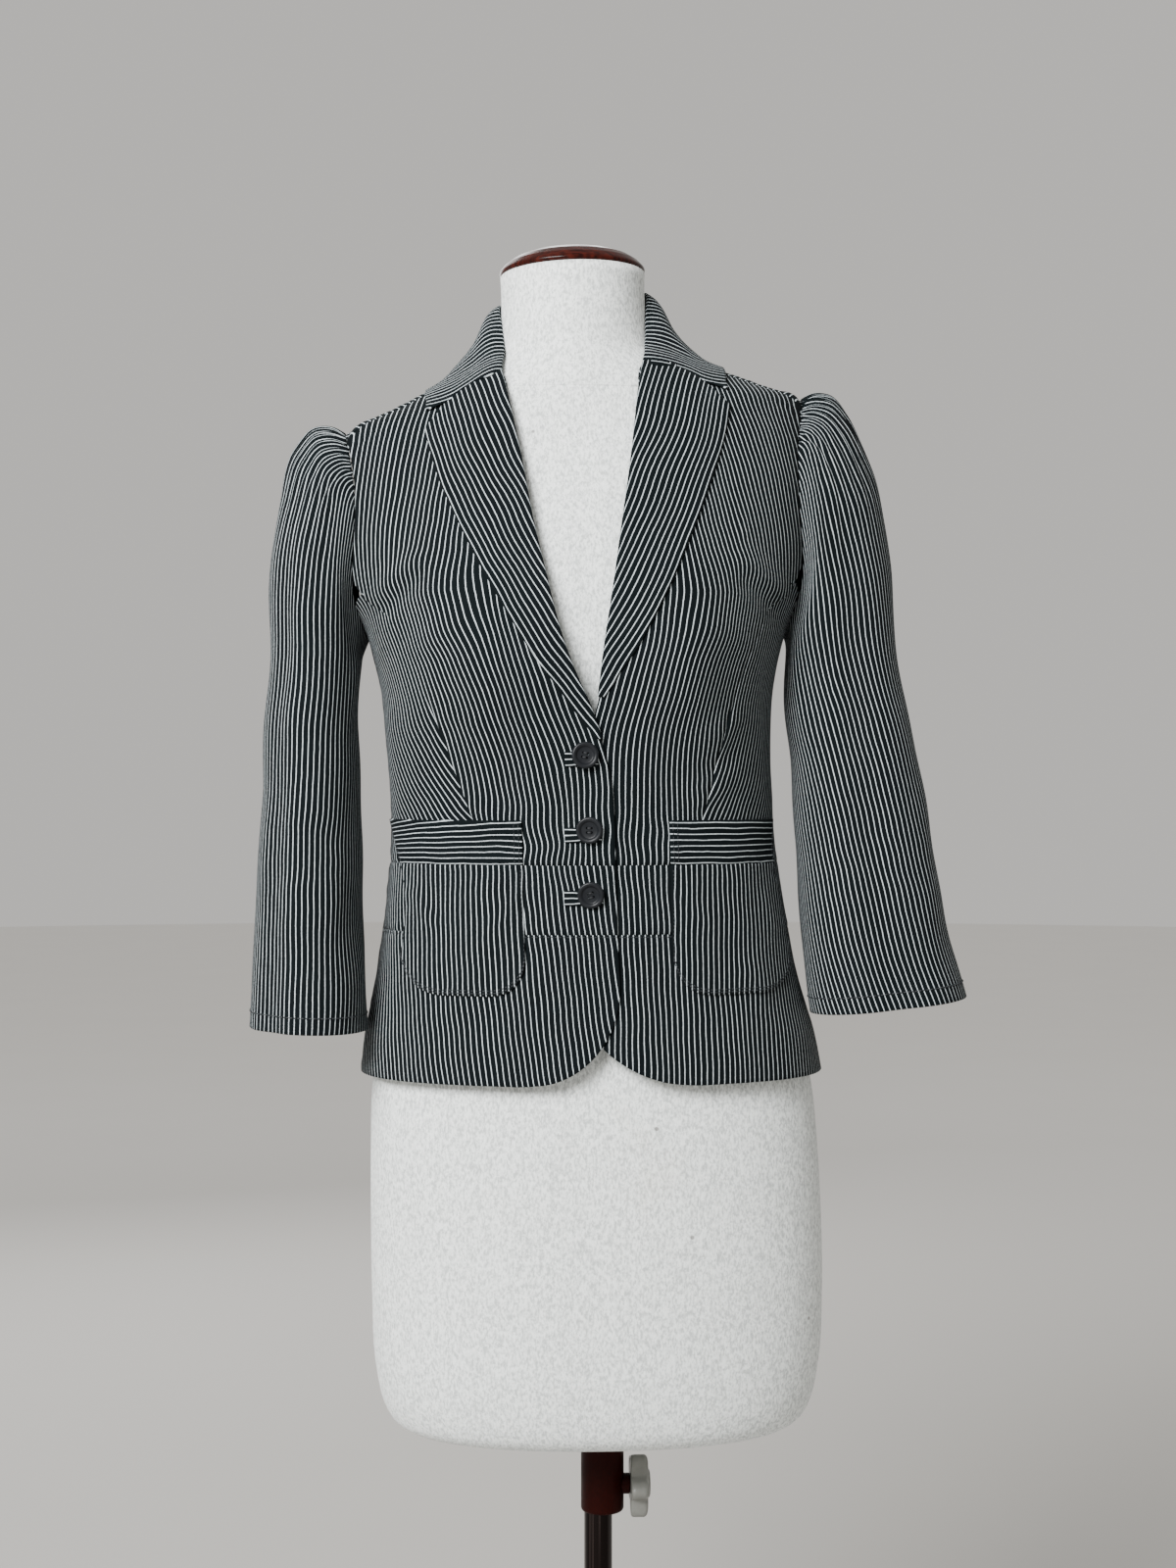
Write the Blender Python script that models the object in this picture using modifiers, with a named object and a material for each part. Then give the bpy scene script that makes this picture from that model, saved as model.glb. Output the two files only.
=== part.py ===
"""A cropped, single-breasted blazer with gathered sleeve caps, worn by a limbless dress form.

The front faces -Y, Z is up, and the origin is where the pole's axis meets the floor. Lengths are
millimetres until a mesh or a location is made, in metres. A point of the cloth is found first on an
upright, symmetric body, where x counts towards the piece's own side, and worn() then gives it its side,
the bust's fullness and the body's slight lean.
"""

import math

import bmesh
import bpy
import numpy as np

MM = 0.001
RIGHT, LEFT = -1, 1  # the wearer's right is at -X

# Cloth
CLOTH = 1.2  # one layer
TURNED = 1.6  # two layers pressed together, as in the lapels and the collar
SEAM = 0.2  # what each piece keeps back from a seam line
SHOULDER_GAP = 0.4  # the same for a front at its shoulder seam, on the curve of the ridge
COLLAR_GAP = 0.55  # and for the collar's leaf
LAP = 2.3  # how far the right front stands off the left one
LAP_FADE = (25.0, 50.0)  # distance from the centre over which that lift dies out
LAP_TOP = (1100.0, 1180.0)  # heights between which it dies out
REST = 0.8  # clearance under a piece that lies on a panel
LAPEL_RISE = 1.0  # how much further a lapel stands off near the neck
LAPEL_RISES = (1270.0, 1295.0)  # heights between which it gains that

# Heights on the body
HEM = 771.0
PEPLUM_SEAM = 881.0
WAIST_SEAM = 932.0
FRONT_EDGE = -19.0  # each front passes the centre by this much
SHOULDER_SEAM_Y = -18.0  # the seam lies a little forward of the ridge

# Form and stand
TORSO_SIDES = 32
FORM_BOTTOM = 493.0
NECK_TOP = 1388.5
CAP_TILT = 0.03  # its rise towards the left for each millimetre
POLE_RADIUS, POLE_TOP = 11.0, 800.0
BORE_RADIUS, BORE_TOP = 11.6, 1060.0  # the torso's, which slides on the pole
SOCKET_BORE_RADIUS = 11.5
SOCKET_BOTTOM, SOCKET_TOP, SOCKET_RADIUS = 425.0, 492.7, 16.75
SOCKET_OFFSET = 3.3  # the socket is set off the pole, towards its knob
SOCKET_EDGE = 1.2
BOSS_RADIUS, BOSS_ROOT, BOSS_END = 8.0, 3.0, 24.7  # root: how deep it starts in the socket's wall
KNOB_HEIGHT = 445.0
KNOB_LOBES, KNOB_RADIUS, LOBE = 5, 20.5, 4.8
PAST = 10.0  # how far a cutter runs past what it cuts
# radius and height, down the outer side of each turned piece
CAP_DOME = (
    (0.0, 19.5),
    (20.0, 18.8),
    (36.0, 16.0),
    (47.0, 11.8),
    (54.0, 6.8),
    (56.8, 2.8),
    (56.4, 0.6),
    (55.2, 0.0),
    (0.0, 0.0),
)
BASE = (
    (0.0, 6.0),
    (POLE_RADIUS + 0.4, 6.0),
    (POLE_RADIUS + 0.4, 40.0),
    (20.0, 40.0),
    (22.0, 38.0),
    (22.0, 18.0),
    (27.0, 13.0),
    (146.0, 9.0),
    (153.0, 7.0),
    (155.0, 4.0),
    (153.0, 0.0),
    (0.0, 0.0),
)
SOCKET = (
    (0.0, SOCKET_TOP),
    (SOCKET_RADIUS, SOCKET_TOP),
    (SOCKET_RADIUS, SOCKET_BOTTOM + SOCKET_EDGE),
    (SOCKET_RADIUS - SOCKET_EDGE, SOCKET_BOTTOM),
    (0.0, SOCKET_BOTTOM),
)
# distance out from the boss, share of the knob's outline, how much of its lobes
KNOB = (
    (0.3, 0.86, 1.0),
    (1.8, 1.0, 1.0),
    (11.5, 1.0, 1.0),
    (14.0, 0.8, 1.0),
    (15.5, 0.5, 0.0),
    (16.0, 0.2, 0.0),
)

# height, half width, depth to the front, depth to the back, squareness
JACKET = (
    (770, 179.5, 113.5, 121.0, 2.3),
    (794, 176.0, 112.0, 119.0, 2.3),
    (827, 168.0, 109.0, 115.0, 2.3),
    (876, 158.5, 105.0, 108.0, 2.3),
    (927, 151.0, 102.0, 101.5, 2.3),
    (960, 148.5, 102.0, 98.5, 2.3),
    (1010, 148.7, 106.5, 96.5, 2.3),
    (1035, 150.3, 110.0, 97.5, 2.3),
    (1066, 153.0, 113.0, 99.5, 2.3),
    (1090, 158.0, 113.5, 101.5, 2.3),
    (1107, 162.5, 112.5, 103.0, 2.3),
    (1135, 176.0, 110.0, 105.0, 2.3),
    (1170, 184.0, 103.0, 105.5, 2.3),
    (1210, 186.0, 94.0, 102.0, 2.3),
    (1245, 184.0, 85.0, 97.0, 2.25),
    (1277, 178.0, 75.5, 87.0, 2.1),
    (1290, 149.0, 72.5, 83.5, 1.9),
    (1302, 122.0, 69.5, 79.0, 1.8),
    (1314, 96.0, 66.5, 74.0, 1.75),
    (1325, 73.0, 64.0, 69.0, 1.8),
    (1335, 67.0, 62.5, 66.0, 1.9),
    (1350, 64.0, 61.5, 63.0, 2.0),
)
FORM = (
    (493, 134.0, 73.0, 79.0, 2.3),
    (496, 149.0, 84.0, 92.0, 2.3),
    (502, 158.5, 91.5, 100.5, 2.3),
    (517, 166.8, 97.5, 106.5, 2.3),
    (541, 172.0, 101.5, 111.0, 2.3),
    (600, 175.3, 104.5, 114.5, 2.3),
    (660, 175.3, 104.5, 113.8, 2.3),
    (715, 173.8, 103.7, 112.3, 2.3),
    (755, 171.5, 102.0, 111.0, 2.3),
    (790, 166.0, 99.5, 108.0, 2.3),
    (830, 155.0, 95.0, 102.0, 2.3),
    (875, 142.0, 90.0, 95.0, 2.3),
    (915, 130.0, 86.0, 88.0, 2.3),
    (955, 122.0, 83.5, 83.0, 2.25),
    (1000, 127.0, 88.0, 83.0, 2.25),
    (1045, 139.0, 96.0, 89.0, 2.25),
    (1085, 150.0, 101.0, 95.0, 2.25),
    (1125, 157.0, 100.5, 97.5, 2.25),
    (1165, 163.0, 93.5, 97.0, 2.25),
    (1205, 167.0, 85.0, 93.5, 2.2),
    (1240, 168.0, 77.0, 88.0, 2.15),
    (1262, 160.0, 72.0, 83.0, 2.05),
    (1277, 152.0, 69.5, 80.5, 2.0),
    (1290, 140.5, 67.5, 78.8, 1.9),
    (1302, 114.0, 65.0, 74.3, 1.8),
    (1314, 86.5, 61.5, 68.8, 1.75),
    (1325, 66.2, 59.6, 64.0, 1.8),
    (1335, 61.5, 58.0, 61.0, 1.9),
    (1350, 57.6, 57.0, 58.0, 2.0),
    (1388.5, 56.3, 56.3, 56.3, 2.0),
)
# fullness, distance from the centre, height, and the spread of each
JACKET_BUST = (15.0, 86.0, 1085.0, 46.0, 58.0)
FORM_BUST = (19.0, 80.0, 1085.0, 38.0, 46.0)
# height, sideways shift, rise towards the left
LEAN = (
    (0, -0.6, 0.0),
    (600, -0.6, 0.0),
    (700, -2.6, 0.0),
    (780, -5.6, 0.0),
    (880, -10.1, 0.0),
    (960, -12.1, 0.0),
    (1040, -16.1, 0.0),
    (1110, -17.0, 0.015),
    (1180, -17.6, 0.06),
    (1240, -18.1, 0.08),
    (1320, -19.1, 0.082),
    (1374, -19.9, 0.085),
    (1392, -20.1, 0.03),
    (1420, -20.3, 0.03),
)

# Armhole: an upright oval on the body's side
ARMHOLE_HEIGHT, ARMHOLE_RISE, ARMHOLE_DEPTH = 1191.0, 86.0, 48.0
SHOULDER_TIP = math.asin(-SHOULDER_SEAM_Y / ARMHOLE_DEPTH)
PRINCESS_TOP = 1140.0

# height, distance from the centre
PRINCESS = (
    (932, 80.0),
    (966, 85.5),
    (1002, 97.0),
    (1031, 106.0),
    (1059, 115.5),
    (1108, 135.0),
    (1140, 163.5),
)
ROLL = {
    RIGHT: (
        (990, -19.0),
        (1013, -15.0),
        (1045, -5.5),
        (1065, 3.5),
        (1089, 13.0),
        (1108, 19.0),
        (1160, 30.3),
        (1195, 37.5),
        (1230, 43.0),
        (1307.5, 57.5),
    ),
    LEFT: (
        (940, -19.0),
        (965, -17.0),
        (1000, -8.0),
        (1045, 9.9),
        (1093, 17.0),
        (1143, 25.3),
        (1187, 32.3),
        (1221, 37.7),
        (1251, 42.0),
        (1284, 46.3),
        (1306, 50.5),
    ),
}
LAPEL_EDGE = {
    RIGHT: (
        (1026, -9.0),
        (1035, 0.0),
        (1049, 8.5),
        (1066, 21.5),
        (1087, 37.0),
        (1118, 55.0),
        (1145, 69.0),
        (1185, 87.0),
        (1235, 106.5),
        (1268, 114.5),
    ),
    LEFT: (
        (1056, 15.8),
        (1066, 21.5),
        (1087, 37.0),
        (1118, 55.0),
        (1145, 69.0),
        (1185, 87.0),
        (1235, 106.5),
        (1268, 114.5),
    ),
}
# distance from the centre, height: the seam between lapel and collar, from the roll line to the notch
GORGE = {
    RIGHT: ((57.5, 1307.5), (67.0, 1305.7), (77.5, 1301.5), (88.0, 1293.7), (95.5, 1288.0)),
    LEFT: ((50.5, 1306.0), (64.0, 1306.2), (77.5, 1301.5), (88.0, 1293.7), (95.5, 1288.0)),
}
COLLAR_TIP = (113.5, 1281.0)
LAPEL_PEAK = (114.5, 1268.0)
# angle round the neck, height
NECKLINE = (
    (-61, 1306.0),
    (-56, 1307.5),
    (-38, 1317.0),
    (-18, 1325.0),
    (4, 1329.0),
    (30, 1332.0),
    (60, 1334.0),
    (90, 1334.0),
)
NECK_POINT = -18.3  # angle at which the shoulder seam meets it

# place along the collar, from the back to the gorge; its fold (across, to the back, up); its leaf's
# edge (angle, height)
COLLAR = (
    (0.00, 0.0, 61.5, 1373.0, 90.0, 1316.0),
    (0.17, 31.0, 53.5, 1373.5, 66.0, 1315.0),
    (0.34, 53.0, 31.5, 1373.0, 38.0, 1312.5),
    (0.50, 61.3, 6.0, 1371.5, 6.0, 1309.0),
    (0.66, 61.0, -13.0, 1358.0, -21.4, 1301.0),
    (0.83, 56.5, -32.0, 1332.0, -38.6, 1290.0),
)
COLLAR_END = {
    RIGHT: (1.00, 57.5, -54.0, 1308.5, -48.3, 1281.0),
    LEFT: (1.00, 50.5, -57.5, 1307.0, -48.3, 1281.0),
}
# place along the collar, angle and height of the seam under its stand
STAND_SEAM = (
    (0.00, 90, 1334),
    (0.17, 60, 1334),
    (0.34, 30, 1332),
    (0.50, 4, 1329),
    (0.66, -18, 1325),
    (0.88, -43, 1314),
)
STAND_END = 0.78
STAND_FOOT = 0.8  # how far above the seam the stand begins
STAND_HEAD = (2.4, 3.5)  # how far inside the fold and below it the stand ends
# place along the collar, how far the fall hangs in under its straight line (across, up)
FALL_SAG = (
    (0.00, 0.0, 0.0),
    (0.30, -7.5, -2.0),
    (0.50, -11.0, -2.3),
    (0.66, -9.0, -2.0),
    (0.85, -2.5, 0.0),
    (1.00, 0.0, 0.0),
)
FALL_MEETS = (0.6, 1.0)  # places between which the leaf comes down to the gorge
FALL_CLEAR = 0.2  # what it keeps over a turned layer's usual clearance
FOLD_LOOSE = (3.0, 0.6)  # how far the fold turns inwards, at the back and at the gorge
FOLD_RISE = 0.55  # how much it rises for each millimetre of that

# height, centre across, half width
SLEEVE = {
    RIGHT: (
        (808, 214.5, 44.7),
        (840, 213.0, 43.2),
        (878, 212.0, 41.3),
        (916, 211.7, 40.2),
        (954, 210.5, 38.5),
        (992, 207.7, 37.6),
        (1030, 206.0, 35.5),
        (1068, 203.5, 35.5),
        (1085, 202.5, 35.2),
    ),
    LEFT: (
        (824, 229.0, 61.0),
        (840, 227.0, 60.0),
        (878, 222.2, 56.2),
        (916, 219.0, 54.0),
        (954, 216.2, 52.0),
        (992, 214.0, 49.8),
        (1030, 211.8, 47.7),
        (1068, 207.8, 46.5),
        (1085, 206.5, 44.0),
    ),
}
# height, centre towards the back
SLEEVE_HANG = ((808, -35.0), (900, -27.0), (1000, -16.0), (1085, -6.0))
SLEEVE_TOP = 1085.0
SLEEVE_SQUARENESS = 2.2
SLEEVE_CLEAR = 3.6
# half depth at the top and at the cuff, cuff height, its rise for each millimetre outwards
CUFF = {RIGHT: (57.0, 62.0, 808.0, 0.033), LEFT: (52.0, 55.0, 823.5, 0.107)}
# where the long soft fold lies round the sleeve, its depth and half width
SLEEVE_FOLD = {RIGHT: (math.radians(56), 5.0, 0.3), LEFT: (math.radians(88), 5.5, 0.3)}
# angle from the top of the armhole, direction in which the cap leaves it (out, forward, up)
CAP_LEAVES = {
    RIGHT: (
        (0, 175, 0, 150),
        (30, 155, 25, 105),
        (60, 105, 45, 20),
        (90, 60, 50, -25),
        (135, 22, 25, -35),
        (180, 6, 0, -20),
    ),
    LEFT: (
        (0, 145, 0, 110),
        (30, 128, 25, 80),
        (60, 90, 45, 15),
        (90, 55, 50, -25),
        (135, 22, 25, -35),
        (180, 6, 0, -20),
    ),
}
# angle from the top, how strongly the cap runs into the sleeve (in, down)
CAP_ARRIVES = ((0, -10, -150), (60, -5, -120), (90, 0, -90), (135, 0, -45), (180, 0, -20))
CAP_GAP = 0.8  # between the sleeve and the armhole's edge
CAP_ROWS = (0.0, 0.06, 0.15, 0.28, 0.46, 0.7, 1.0)  # shares of the way down the cap
CAP_CLEAR = (0.0, 0.0, 0.0, 1.5, 3.0)  # least distance of those rows from the body, SLEEVE_CLEAR after them
CAP_HEART = (150.0, -5.0, 1200.0)  # the gathers swell away from this point
TUBE_ROWS = (1040.0, 980.0, 915.0)  # heights of the rings below the cap
CAP_TWIST = 0.45  # how far the cap's columns still follow the armhole where the tube begins
TWIST_END = 950.0  # height at which they no longer do
GATHERS = 14
GATHER_WIDTH = 8.0
GATHER_DEPTH = 1.5
GATHER_CENTRE = 8.0  # how far forward of the armhole's top
GATHER_START, GATHER_FULL = 0.35, 0.2  # depth share at the seam, and the share of the cap where it is full
GATHER_FADE = (0.25, 0.75)  # shares of the cap between which it dies out

# pocket: distance of its inner edge, then (height, angle) down its outer edge
POCKET = {
    RIGHT: (49.0, ((836, -31), (890, -31), (932, -23), (965, -6))),
    LEFT: (60.0, ((836, -17), (890, -17), (932, -20), (965, -15))),
}
POCKET_BOTTOM, POCKET_ROUND, BAND_TOP = 836.0, 27.0, 965.0
FRONT_CORNER = {RIGHT: (70.0, 75.0), LEFT: (90.0, 85.0)}  # half axes of the rounded front corner
# button height, how far its buttonhole reaches to the right, and how much lower it lies
BUTTONS = ((1014.0, -14.5, 3.5), (958.0, -17.5, 3.5), (910.0, -19.0, 2.0))
BUTTONHOLE_END, BUTTONHOLE_HEIGHT = 9.0, 11.0  # how far it reaches to the left, and how tall it is
# share of that height, how far the cloth stands up there
LIPS = ((-0.5, 0.0), (-0.4, 0.4), (-0.2, 0.55), (0.0, 0.1), (0.2, 0.55), (0.4, 0.4), (0.5, 0.0))
LIP = 0.8  # the buttonhole's cloth
GAP = 0.3  # between pieces that touch
BUTTON_REST = 0.4  # between a buttonhole's lips and its button
# radius, height above the button's back, down its outer side
BUTTON = (
    (0.0, 2.2),
    (6.3, 2.2),
    (7.6, 3.3),
    (8.7, 3.7),
    (9.6, 3.2),
    (10.0, 2.0),
    (9.3, 0.6),
    (6.0, 0.0),
    (0.0, 0.0),
)
THREAD_HOLES, THREAD_HOLE_RADIUS, THREAD_HOLE_REACH = 4, 1.0, 2.3  # reach: from the button's centre


def read(rows, at):
    """The columns of a table at any value of its first one, by a curve that adds no bumps."""
    table = np.array(rows, float)
    key, values = table[:, 0], table[:, 1:]
    step = np.diff(key)[:, None]
    slope = np.diff(values, axis=0) / step
    pair = slope[:-1] * slope[1:]
    total = slope[:-1] + slope[1:]
    inner = np.where(pair > 0, 2 * pair / np.where(total == 0, 1, total), 0)
    tangent = np.vstack([slope[:1], inner, slope[-1:]])
    at = np.clip(np.asarray(at, float), key[0], key[-1])
    low = np.clip(np.searchsorted(key, at, side="right") - 1, 0, len(key) - 2)
    gap = step[low]
    t = (at - key[low])[..., None] / gap
    return (
        (2 * t**3 - 3 * t**2 + 1) * values[low]
        + (t**3 - 2 * t**2 + t) * gap * tangent[low]
        + (3 * t**2 - 2 * t**3) * values[low + 1]
        + (t**3 - t**2) * gap * tangent[low + 1]
    )


def ease(value, start, end):
    """0 before start, 1 after end, and smooth between."""
    t = np.clip((np.asarray(value, float) - start) / (end - start), 0, 1)
    return t * t * (3 - 2 * t)


def unit(vectors):
    return vectors / np.maximum(np.linalg.norm(vectors, axis=-1, keepdims=True), 1e-9)


def columns(sections, z):
    return np.moveaxis(read(sections, z), -1, 0)


def ring(sections, angle, z):
    """Points of the level section at z: -90 degrees is the front, 0 the own side, 90 the back."""
    angle, z = np.broadcast_arrays(np.asarray(angle, float), np.asarray(z, float))
    width, front, back, power = columns(sections, z)
    across, along = np.cos(angle), np.sin(angle)
    depth = np.where(along < 0, front, back)
    x = width * np.sign(across) * np.abs(across) ** (2 / power)
    y = depth * np.sign(along) * np.abs(along) ** (2 / power)
    return np.stack([x, y, z], -1)


def front_point(h, z):
    """The jacket's front at distance h from the centre."""
    h, z = np.broadcast_arrays(np.asarray(h, float), np.asarray(z, float))
    width, front, _, power = columns(JACKET, z)
    y = -front * np.clip(1 - (np.abs(h) / width) ** power, 0, 1) ** (1 / power)
    return np.stack([h, y, z], -1)


def side_point(y, z):
    """The jacket's own side at depth y."""
    y, z = np.broadcast_arrays(np.asarray(y, float), np.asarray(z, float))
    width, front, back, power = columns(JACKET, z)
    depth = np.where(y < 0, front, back)
    x = width * np.clip(1 - (np.abs(y) / depth) ** power, 0, 1) ** (1 / power)
    return np.stack([x, y, z], -1)


def spread(points):
    """1 on the jacket's surface, less inside it and more outside."""
    width, front, back, power = columns(JACKET, points[:, 2])
    depth = np.where(points[:, 1] < 0, front, back)
    share = (np.abs(points[:, 0]) / width) ** power + (np.abs(points[:, 1]) / depth) ** power
    return share ** (1 / power)


def off_surface(points):
    """How far each point lies outside the jacket's surface, and the way straight out."""
    reach = 0.4
    slope = np.empty_like(points)
    for axis in range(3):
        move = np.zeros(3)
        move[axis] = reach
        slope[:, axis] = (spread(points + move) - spread(points - move)) / (2 * reach)
    size = np.linalg.norm(slope, axis=1)
    return (spread(points) - 1) / size, slope / size[:, None]


def settle(grid):
    """Moves points that are near the jacket's surface onto it, straight in or out."""
    points = grid.reshape(-1, 3).copy()
    for _ in range(8):
        distance, way = off_surface(points)
        points -= distance[:, None] * way
    return points.reshape(grid.shape)


def keep_clear(grid, least):
    """Pushes points out where they come closer than least to the jacket's surface."""
    points = grid.reshape(-1, 3).copy()
    least = np.broadcast_to(least, grid.shape[:-1]).reshape(-1)
    for _ in range(3):
        distance, way = off_surface(points)
        points += np.maximum(least - distance, 0)[:, None] * way
    return points.reshape(grid.shape)


def fill_out(points, sections, bust):
    """The bust's fullness, on the front alone."""
    fullness, at, height, across, up = bust
    _, front, _, power = columns(sections, points[:, 2])
    share = np.clip(-points[:, 1] / front, 0, 1) ** (0.75 * power)
    near = ((np.abs(points[:, 0]) - at) / across) ** 2 + ((points[:, 2] - height) / up) ** 2
    moved = points.copy()
    moved[:, 1] -= fullness * np.exp(-near) * share
    return moved


def lean(points):
    shift, rise = columns(LEAN, points[:, 2])
    return points + np.stack([shift, 0 * shift, rise * points[:, 0]], 1)


def worn(grid, side, out=0.0):
    """Points on the symmetric jacket as they are worn on this side, moved out along the cloth's normal."""
    points = grid.reshape(-1, 3) * (side, 1, 1)
    _, way = off_surface(points)
    level = unit(np.cross(way, (0.0, 0.0, 1.0)))
    upward = np.cross(level, way)
    reach = 0.5

    def as_worn(at):
        return lean(fill_out(at, JACKET, JACKET_BUST))

    along = as_worn(points + reach * level) - as_worn(points - reach * level)
    above = as_worn(points + reach * upward) - as_worn(points - reach * upward)
    normal = unit(np.cross(above, along))
    normal *= np.sign((normal * way).sum(1))[:, None]
    out = np.broadcast_to(out, grid.shape[:-1]).reshape(-1, 1)
    return (as_worn(points) + out * normal).reshape(grid.shape)


def even(points, count):
    """Points at equal distances along a finely drawn line."""
    run = np.concatenate([[0], np.cumsum(np.linalg.norm(np.diff(points, axis=0), axis=1))])
    at = np.linspace(0, run[-1], count)
    return np.stack([np.interp(at, run, points[:, axis]) for axis in range(3)], -1)


def joined(*lines):
    """Lines end to end, with the shared corners once."""
    return np.vstack([lines[0]] + [line[1:] for line in lines[1:]])


def shares(first, second):
    """How far along each point of two lines lies, as a share of their length, averaged."""
    both = []
    for line in (first, second):
        run = np.concatenate([[0], np.cumsum(np.linalg.norm(np.diff(line, axis=0), axis=1))])
        both.append(run / run[-1])
    return sum(both) / 2


def patch(bottom, top, inner, outer):
    """The surface between four lines, laid on the jacket. Rows run inner to outer, and go up."""
    u = shares(bottom, top)[None, :, None]
    v = shares(inner, outer)[:, None, None]
    corners = (
        (1 - u) * (1 - v) * bottom[0] + u * (1 - v) * bottom[-1] + (1 - u) * v * top[0] + u * v * top[-1]
    )
    between = (1 - v) * bottom + v * top + (1 - u) * inner[:, None] + u * outer[:, None] - corners
    grid = settle(between)
    grid[0], grid[-1], grid[:, 0], grid[:, -1] = bottom, top, inner, outer
    return grid


def kept_back(grid, gap=SEAM, top=SEAM):
    """The grid with its four edges drawn back from the seams."""
    grid = grid.copy()
    ends = [(grid[0], grid[1]), (grid[-1], grid[-2]), (grid[:, 0], grid[:, 1]), (grid[:, -1], grid[:, -2])]
    moves = [far * unit(near - edge) for (edge, near), far in zip(ends, (gap, top, gap, gap))]
    for (edge, _), move in zip(ends, moves):
        edge += move
    return grid


def lap(side, grid):
    """The right front's lift where it passes over the left one."""
    if side == LEFT:
        return 0.0
    across = 1 - ease(grid[..., 0], *LAP_FADE)
    return LAP * across * (1 - ease(grid[..., 2], *LAP_TOP))


def armhole(phi):
    """A point of the armhole: 0 is its top, 90 degrees its front, 180 the armpit."""
    phi = np.asarray(phi, float)
    return side_point(-ARMHOLE_DEPTH * np.sin(phi), ARMHOLE_HEIGHT + ARMHOLE_RISE * np.cos(phi))


def armhole_line(start, end, count):
    return even(armhole(np.linspace(start, end, 200)), count)


def neck_start(side):
    """Where the roll line meets the neckline."""
    height, h = ROLL[side][-1]
    return math.degrees(angle_at(h, height))


def neckline(start, end, count):
    """Part of the seam round the neck, between two angles in degrees."""
    angle = np.linspace(start, end, 100)
    return even(ring(JACKET, np.radians(angle), read(NECKLINE, angle)[:, 0]), count)


def angle_at(h, z):
    """The angle of the front point at distance h from the centre."""
    width, _, _, power = columns(JACKET, z)
    return -np.arccos(np.sign(h) * (np.abs(h) / width) ** (power / 2))


def level_line(z, start, end, count):
    """Part of the level section at z, between two angles."""
    return even(ring(JACKET, np.linspace(start, end, 200), z), count)


def front_line(rows, bottom, top, count):
    """A line down the front, from a table of height and distance from the centre."""
    z = np.linspace(bottom, top, 200)
    return even(front_point(read(rows, z)[:, 0], z), count)


PRINCESS_PHI = math.acos((PRINCESS_TOP - ARMHOLE_HEIGHT) / ARMHOLE_RISE)
NEAR_TIP = math.radians(50)
BACK_CENTRE = math.pi / 2


def shoulder_seam(count):
    """From the neck out to the shoulder's tip."""
    neck = neckline(NECK_POINT, 90, 2)[0]
    tip = armhole(SHOULDER_TIP)
    z = np.linspace(neck[2], tip[2], 100)
    return even(side_point(np.linspace(neck[1], tip[1], 100), z), count)


def front_grid(side, across=11, low=8, chest=6, shoulder=5, neck=5):
    """The front inside the princess seam, with its roll line, neckline and shoulder seam."""
    roll_top = ROLL[side][-1][0]
    inner = joined(
        front_line(ROLL[side], WAIST_SEAM, roll_top, low + chest - 2 + shoulder - neck + 1),
        neckline(neck_start(side), NECK_POINT, neck),
    )
    outer = joined(
        front_line(PRINCESS, WAIST_SEAM, PRINCESS_TOP, low),
        armhole_line(PRINCESS_PHI, NEAR_TIP, chest),
        armhole_line(NEAR_TIP, SHOULDER_TIP, shoulder),
    )
    start, end = angle_at(FRONT_EDGE, WAIST_SEAM), angle_at(PRINCESS[0][1], WAIST_SEAM)
    bottom = level_line(WAIST_SEAM, start, end, across)
    return patch(bottom, shoulder_seam(across), inner, outer)


def side_front_grid(across=6, low=8):
    """The front between the princess seam and the side seam."""
    inner = front_line(PRINCESS, WAIST_SEAM, PRINCESS_TOP, low)
    outer = even(ring(JACKET, 0.0, np.linspace(WAIST_SEAM, ARMHOLE_HEIGHT - ARMHOLE_RISE, 200)), low)
    bottom = level_line(WAIST_SEAM, angle_at(PRINCESS[0][1], WAIST_SEAM), 0.0, across)
    return patch(bottom, armhole_line(PRINCESS_PHI, math.pi, across), inner, outer)


def back_half_grid(low=5, high=7, ridge=8, shoulder=6, neck=6):
    """Half of the back, which passes over the ridge to the shoulder seam."""
    side_seam = even(ring(JACKET, 0.0, np.linspace(WAIST_SEAM, ARMHOLE_HEIGHT - ARMHOLE_RISE, 200)), low)
    inner = joined(
        side_seam, armhole_line(-math.pi, -NEAR_TIP, high), armhole_line(-NEAR_TIP, SHOULDER_TIP, ridge)
    )
    top = joined(shoulder_seam(shoulder)[::-1], neckline(NECK_POINT, 90, neck))
    rise = shares(inner, inner) * (NECKLINE[-1][1] - WAIST_SEAM)
    centre = ring(JACKET, BACK_CENTRE, WAIST_SEAM + rise)
    bottom = level_line(WAIST_SEAM, 0.0, BACK_CENTRE, len(top))
    return patch(bottom, top, inner, centre)


def level_grid(bottom, top, start, end, across, rows):
    """A band between two heights."""
    z = np.linspace(bottom, top, rows)
    return np.stack([level_line(height, start(height), end, across) for height in z])


def front_edge_angle(z):
    return angle_at(FRONT_EDGE, z)


def side_seam_angle(_):
    return 0.0


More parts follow.
